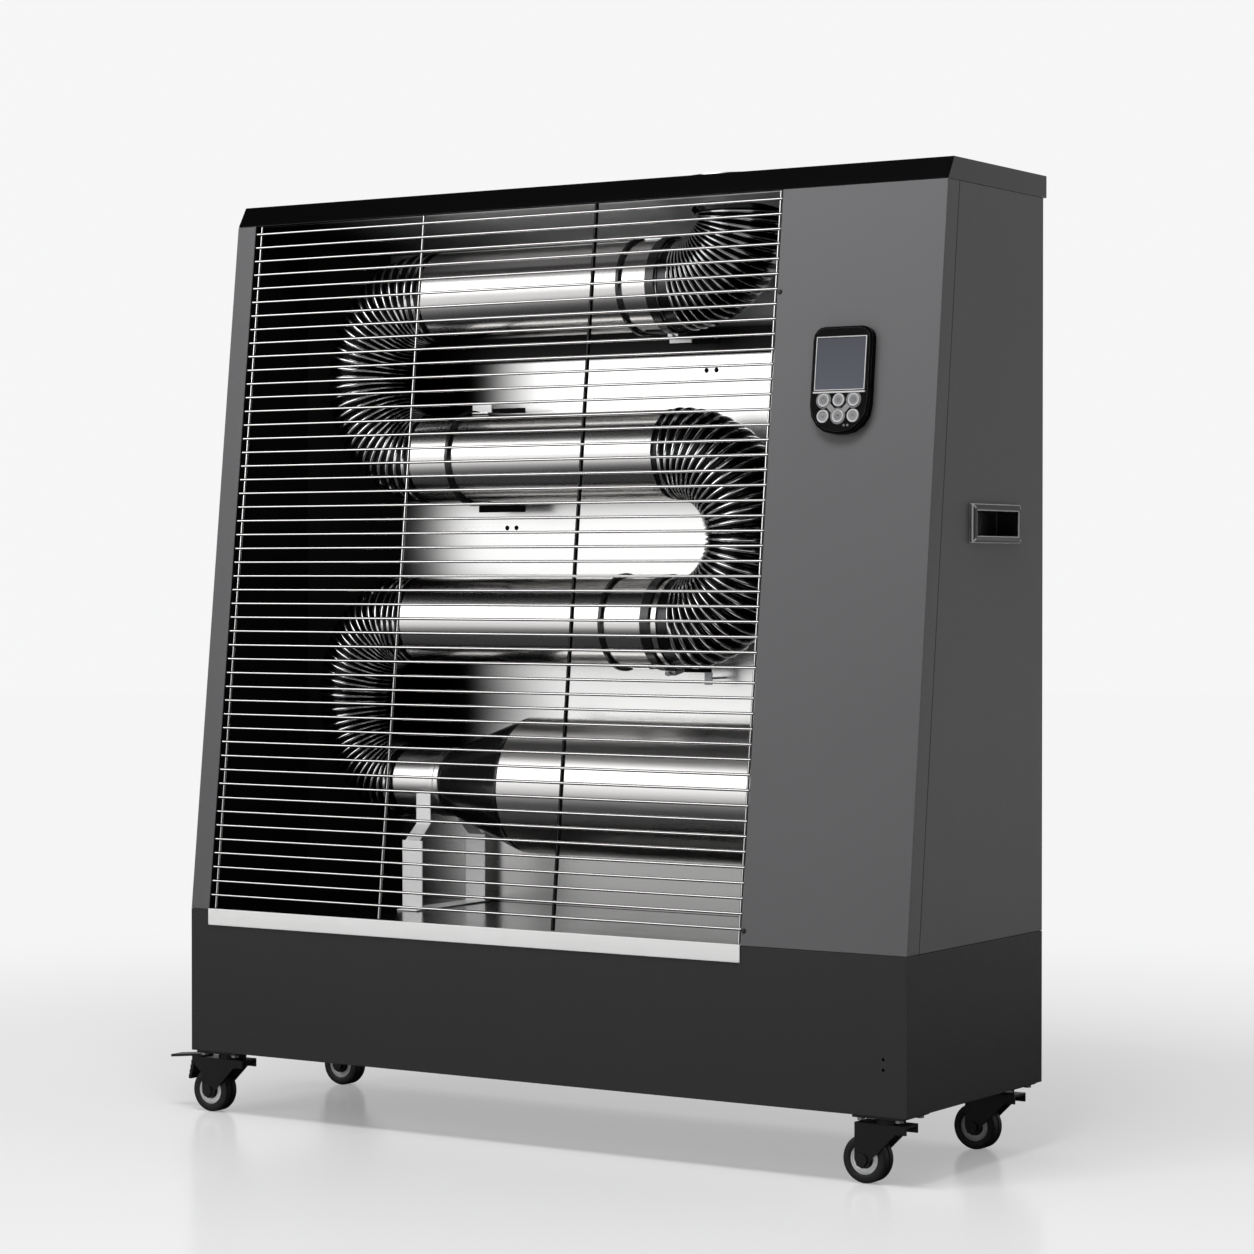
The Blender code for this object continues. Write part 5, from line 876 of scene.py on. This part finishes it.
for key, (x, z) in KEYS.items():
    disc = bmesh.new()
    spot = panel @ Matrix.Translation((x, 0, z))
    lathe(disc, KEY, spot @ at(0, 0, 0, "Y"), 48)
    for face in disc.faces:
        centre = spot.inverted() @ face.calc_center_median()
        face.material_index = 2 * int(math.hypot(centre.x, centre.z) > DISH_RADIUS)
    dish = spot @ Matrix.Translation((0, DISH, 0))
    for start, end in MARKS[key]:
        stroke(disc, dish, start, end)
    if key in RINGS:
        height, radius = RINGS[key]
        ring(disc, dish @ at(0, 0, height, "Y"), radius)
    fit(key + "_key", disc, [silver_plastic, key_mark, pale_trim_and_highlight], key)
print("keys", len(KEYS))

# %% [markdown]
# ## Casters
#
# Each caster is a pressed fork that swivels under a bolted plate. The two on the left have a
# foot brake. The wheel is turned from its section: a twin rubber tread with a groove, a bead
# where the tyre meets the hub, and a pale hub with a raised ring round the axle. Half of the
# section is written down, and the other half is its mirror image.

# %% Casters
AXLE_Z, HUB_INNER, HUB_OUTER, BOLT_INSET, BOLT_DEPTH = 0.025, 0.0096, 0.0157, 0.007, 0.0025
BOLT = [(0.0004, 0.0046), (-0.0028, 0.0046), (-0.0034, 0.0038), (-0.0034, 0)]
TYRE = [(0.0001, 0.0219), (0.001, 0.0222), (0.0012, 0.0247), (0.0024, 0.025), (0.0072, 0.0249),
        (0.0091, 0.0241), (0.0099, 0.0226), (0.01, 0.0192), (0.0096, 0.0168), (0.009, 0.0158)]
HUB = [(0.0088, 0.0158), (0.0093, 0.0152), (0.0088, 0.0144), (0.0078, 0.0136), (0.0076, 0.0098),
       (0.0086, 0.009), (0.0088, 0.0052), (0.0084, 0.0047)]
for corner in ("front_left", "rear_left", "front_right", "rear_right"):
    low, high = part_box("wheel_" + corner)
    middle = (low + high) / 2
    wheel = bmesh.new()
    half = TYRE + HUB
    profile = [(-run, radius) for run, radius in half[::-1]] + half
    lathe(wheel, profile, at(middle.x, middle.y, AXLE_Z, "Y"), 72, closed=True)
    for face in wheel.faces:
        spot = face.calc_center_median() - Vector((middle.x, middle.y, AXLE_Z))
        face.material_index = int(HUB_INNER < math.hypot(spot.x, spot.z) < HUB_OUTER)
    fit("wheel_" + corner + "_detail", wheel, [rubber, hub_plastic], "wheel_" + corner)
    fork = rounded_copy("fork_" + corner, 0.0006)
    fit("fork_" + corner + "_detail", fork, caster_black, "fork_" + corner)
    plate = rounded_copy("caster_plate_" + corner, 0.0005)
    low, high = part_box("caster_plate_" + corner)
    for x in (low.x + BOLT_INSET, high.x - BOLT_INSET):
        for y in (low.y + BOLT_INSET, high.y - BOLT_INSET):
            lathe(plate, BOLT, at(x, y, high.z - BOLT_DEPTH, "Z"), 6, index=1)
    fit("plate_" + corner + "_detail", plate, [caster_black, bolt_steel], "caster_plate_" + corner)
    print("caster", corner, "wheel at", round(middle.x, 4), round(middle.y, 4))
for corner in ("front_left", "rear_left"):
    pedal = rounded_copy("brake_pedal_" + corner, 0.0005)
    fit("pedal_" + corner + "_detail", pedal, caster_black, "brake_pedal_" + corner)

# %% [markdown]
# ## Flue outlet and small screws
#
# The flue ends in a flanged collar on the cap, with bars that keep things from falling in. Two
# small screws in the fascia hold the right edge of the guard. A dark seam runs up the right
# side of the cabinet, where the fascia's folded edge meets the side panel.

# %% Flue outlet and screws
FASCIA_SCREW = [(0.0002, 0.0026), (-0.0006, 0.0026), (-0.0013, 0.0018), (-0.0014, 0)]
FASCIA_SCREW_X, FASCIA_SCREWS_Z = 0.2952, (0.252, 0.916)
SEAM_START, SEAM_END, SEAM_FOOT, SEAM_HEAD = 0.0253, 0.0264, 0.001, 0.79
SEAM_SUNK, SEAM_PROUD = 0.0008, 0.0001
fit("flue_collar", rounded_copy("flue_outlet", 0.0003), tube_steel, "flue_outlet")
fascia = rounded_copy("control_fascia", 0.0006)
for z in FASCIA_SCREWS_Z:
    lathe(fascia, FASCIA_SCREW, at(FASCIA_SCREW_X, front_at(z), z, "Y"), 20, index=1)
fascia_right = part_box("control_fascia")[1].x
block(fascia, (fascia_right - SEAM_SUNK, SEAM_START, SEAM_FOOT),
      (fascia_right + SEAM_PROUD, SEAM_END, SEAM_HEAD), 0.0001, 1,
      Matrix.Translation((0, FRONT, BASE_TOP)) @ leaning)
fit("fascia_detail", fascia, [charcoal, base_coat], "control_fascia")
print("fascia's right edge", round(fascia_right, 4))

# %% [markdown]
# ## Floor and light
#
# The heater stands on a pale glossy floor in a white studio. The bright steel shows whatever is
# round it, so the light is shaped for the metal. For the camera the floor fades into the
# backdrop with distance, so that no horizon shows, and close by part of the glow stays mixed in
# as painted light that pales the heater's shadow. In reflections the near floor takes a dark
# colour, painted shade standing for the heater's shade on it, and only the far floor is bright.

# %% Floor
FLOOR_RADIUS = 14
# To Min keeps some glow mixed in close by: painted light that pales the heater's shadow.
CAMERA_FADE = {"From Min": 0.25, "From Max": 2.3, "To Min": 0.3}
MIRROR_FADE = {"From Min": 0.9, "From Max": 3.8}
ground = Finish("studio_floor", (0.9, 0.9, 0.905), 0.18)
ground.set("Roughness", ground.noise(3.0) * 0.06 + 0.15)
here = ground.node("ShaderNodeTexCoord", output="Object")
reach = ground.node("ShaderNodeVectorMath", {"operation": "LENGTH"}, {0: here}, output=1)
eased = {"interpolation_type": "SMOOTHSTEP"}
far = ground.node("ShaderNodeMapRange", eased, {"Value": reach, **CAMERA_FADE})
seen = ground.node("ShaderNodeLightPath", output="Is Camera Ray")
glow = ground.node("ShaderNodeEmission", {}, {"Color": (0.915, 0.915, 0.918, 1)})
mirrored = ground.node("ShaderNodeLightPath", output="Is Glossy Ray")
beyond = ground.node("ShaderNodeMapRange", eased, {"Value": reach, **MIRROR_FADE})
# Dark near floor seen in reflections: painted shade.
reflected_floor_shade = ground.node("ShaderNodeBsdfDiffuse", {}, {"Color": (0.05, 0.05, 0.052, 1)})
own = Field(ground, ground.shader.outputs[0])
under = ground.node("ShaderNodeMixShader", {}, {0: mirrored, 1: own, 2: reflected_floor_shade})
blend = ground.node("ShaderNodeMixShader", {}, {0: far * seen + beyond * mirrored, 1: under, 2: glow})
ground.feed(ground.tree.nodes["Material Output"].inputs["Surface"], blend)
floor_mesh = bmesh.new()
bmesh.ops.create_circle(floor_mesh, cap_ends=True, segments=96, radius=FLOOR_RADIUS)
mesh = bpy.data.meshes.new("studio_floor")
floor_mesh.to_mesh(mesh)
floor_mesh.free()
mesh.materials.append(ground.material)
floor = bpy.data.objects.new("studio_floor", mesh)
bpy.context.scene.collection.objects.link(floor)
print("floor radius", FLOOR_RADIUS)

# %% [markdown]
# ## World
#
# What the metal mirrors is a world of its own. It is brightest at eye level and dark overhead,
# where a real studio has its unlit ceiling, and a colour ramp holds that fall with height. On
# the level it is bright on two sides only: narrowly round the lamp panel, and broadly at the
# backdrop. A sector is a range of compass directions with soft ends. The camera sees an even
# pale backdrop, and everything else gets a weak even fill.

# %% World
OVERHEAD, UNLIT = 0.02, 0.05
FILL, BACKDROP = (0.2, 0.2, 0.203, 1), (0.925, 0.925, 0.928, 1)
world = bpy.data.worlds.new("studio")
bpy.context.scene.world = world
sky = Graph(world)
facing = sky.node("ShaderNodeTexCoord", output="Generated")
tall = sky.node("ShaderNodeSeparateXYZ", {}, {0: facing}, output=2)
ramp = sky.node("ShaderNodeValToRGB", {}, {0: tall})
fall = ramp.socket.node.color_ramp.elements
fall[0].color = (1, 1, 1, 1)
fall[1].position, fall[1].color = 1.0, (OVERHEAD, OVERHEAD, OVERHEAD, 1)
for place, value in ((0.25, 0.9), (0.5, 0.5), (0.6, 0.05)):
    fall.new(place).color = (value, value, value, 1)


def sector(direction, low, high, level):
    """How bright the studio is round one level direction."""
    flat = sky.node("ShaderNodeVectorMath", {"operation": "MULTIPLY"}, {0: facing, 1: (1, 1, 0)})
    flat = sky.node("ShaderNodeVectorMath", {"operation": "NORMALIZE"}, {0: flat})
    near = sky.node("ShaderNodeVectorMath", {"operation": "DOT_PRODUCT"},
                    {0: flat, 1: direction}, output=1)
    return sky.node("ShaderNodeMapRange", eased, {"Value": near, "From Min": low, "From Max": high,
                                                   "To Min": UNLIT, "To Max": level})


def blended(factor, first, second, kind="MIX"):
    """A blend of two colours of the world."""
    return sky.node("ShaderNodeMix", {"data_type": "RGBA", "blend_type": kind},
                    {0: factor, 6: first, 7: second}, output=2)


panel_side = sector((-0.5, -0.866, 0), 0.86, 0.96, 1.2)
backdrop = sector((0, 1, 0), 0.1, 0.6, 0.55)
around = sky.node("ShaderNodeMath", {"operation": "MAXIMUM"}, {0: panel_side, 1: backdrop})
rays = sky.node("ShaderNodeLightPath").socket.node.outputs
camera_ray, glossy_ray, through_ray = (
    Field(sky, rays["Is " + kind + " Ray"]) for kind in ("Camera", "Glossy", "Transmission"))
mirrors = sky.node("ShaderNodeMath", {"operation": "MAXIMUM"}, {0: glossy_ray, 1: through_ray})
lit = blended(mirrors, FILL, blended(1.0, ramp, around, "MULTIPLY"))
sky.feed(world.node_tree.nodes["Background"].inputs["Color"], blended(camera_ray, lit, BACKDROP))
print("world nodes", len(world.node_tree.nodes))

# %% [markdown]
# ## Lamps
#
# One large soft panel high on the left front is seen in the tubes and gives each its broad
# white band. A second lamp above the front gives the fascia its fall from a paler top to a
# darker foot. A third, very wide and high, evens out the floor. These two are hidden from
# reflections, so they add no second band.


# %% Lamps
def soft_panel(name, place, target, size, power, mirrored=True):
    """An oblong area lamp that faces a point."""
    data = bpy.data.lights.new(name, "AREA")
    data.shape, data.size, data.size_y, data.energy = "RECTANGLE", size[0], size[1], power
    made = bpy.data.objects.new(name, data)
    made.location = place
    made.rotation_euler = (Vector(target) - Vector(place)).to_track_quat("-Z", "Y").to_euler()
    made.visible_glossy = mirrored
    bpy.context.scene.collection.objects.link(made)


soft_panel("front_panel", (-1.7, -2.6, 1.75), (0, 0, 0.75), (2.2, 1.3), 18)
soft_panel("top_front", (0.3, -1.0, 2.3), (0.2, -0.1, 0.95), (1.2, 0.5), 41, mirrored=False)
soft_panel("floor_wash", (0.2, 0.6, 3.2), (0.2, 0.3, 0), (5, 4), 45, mirrored=False)
print("lamps", len(bpy.data.lights))
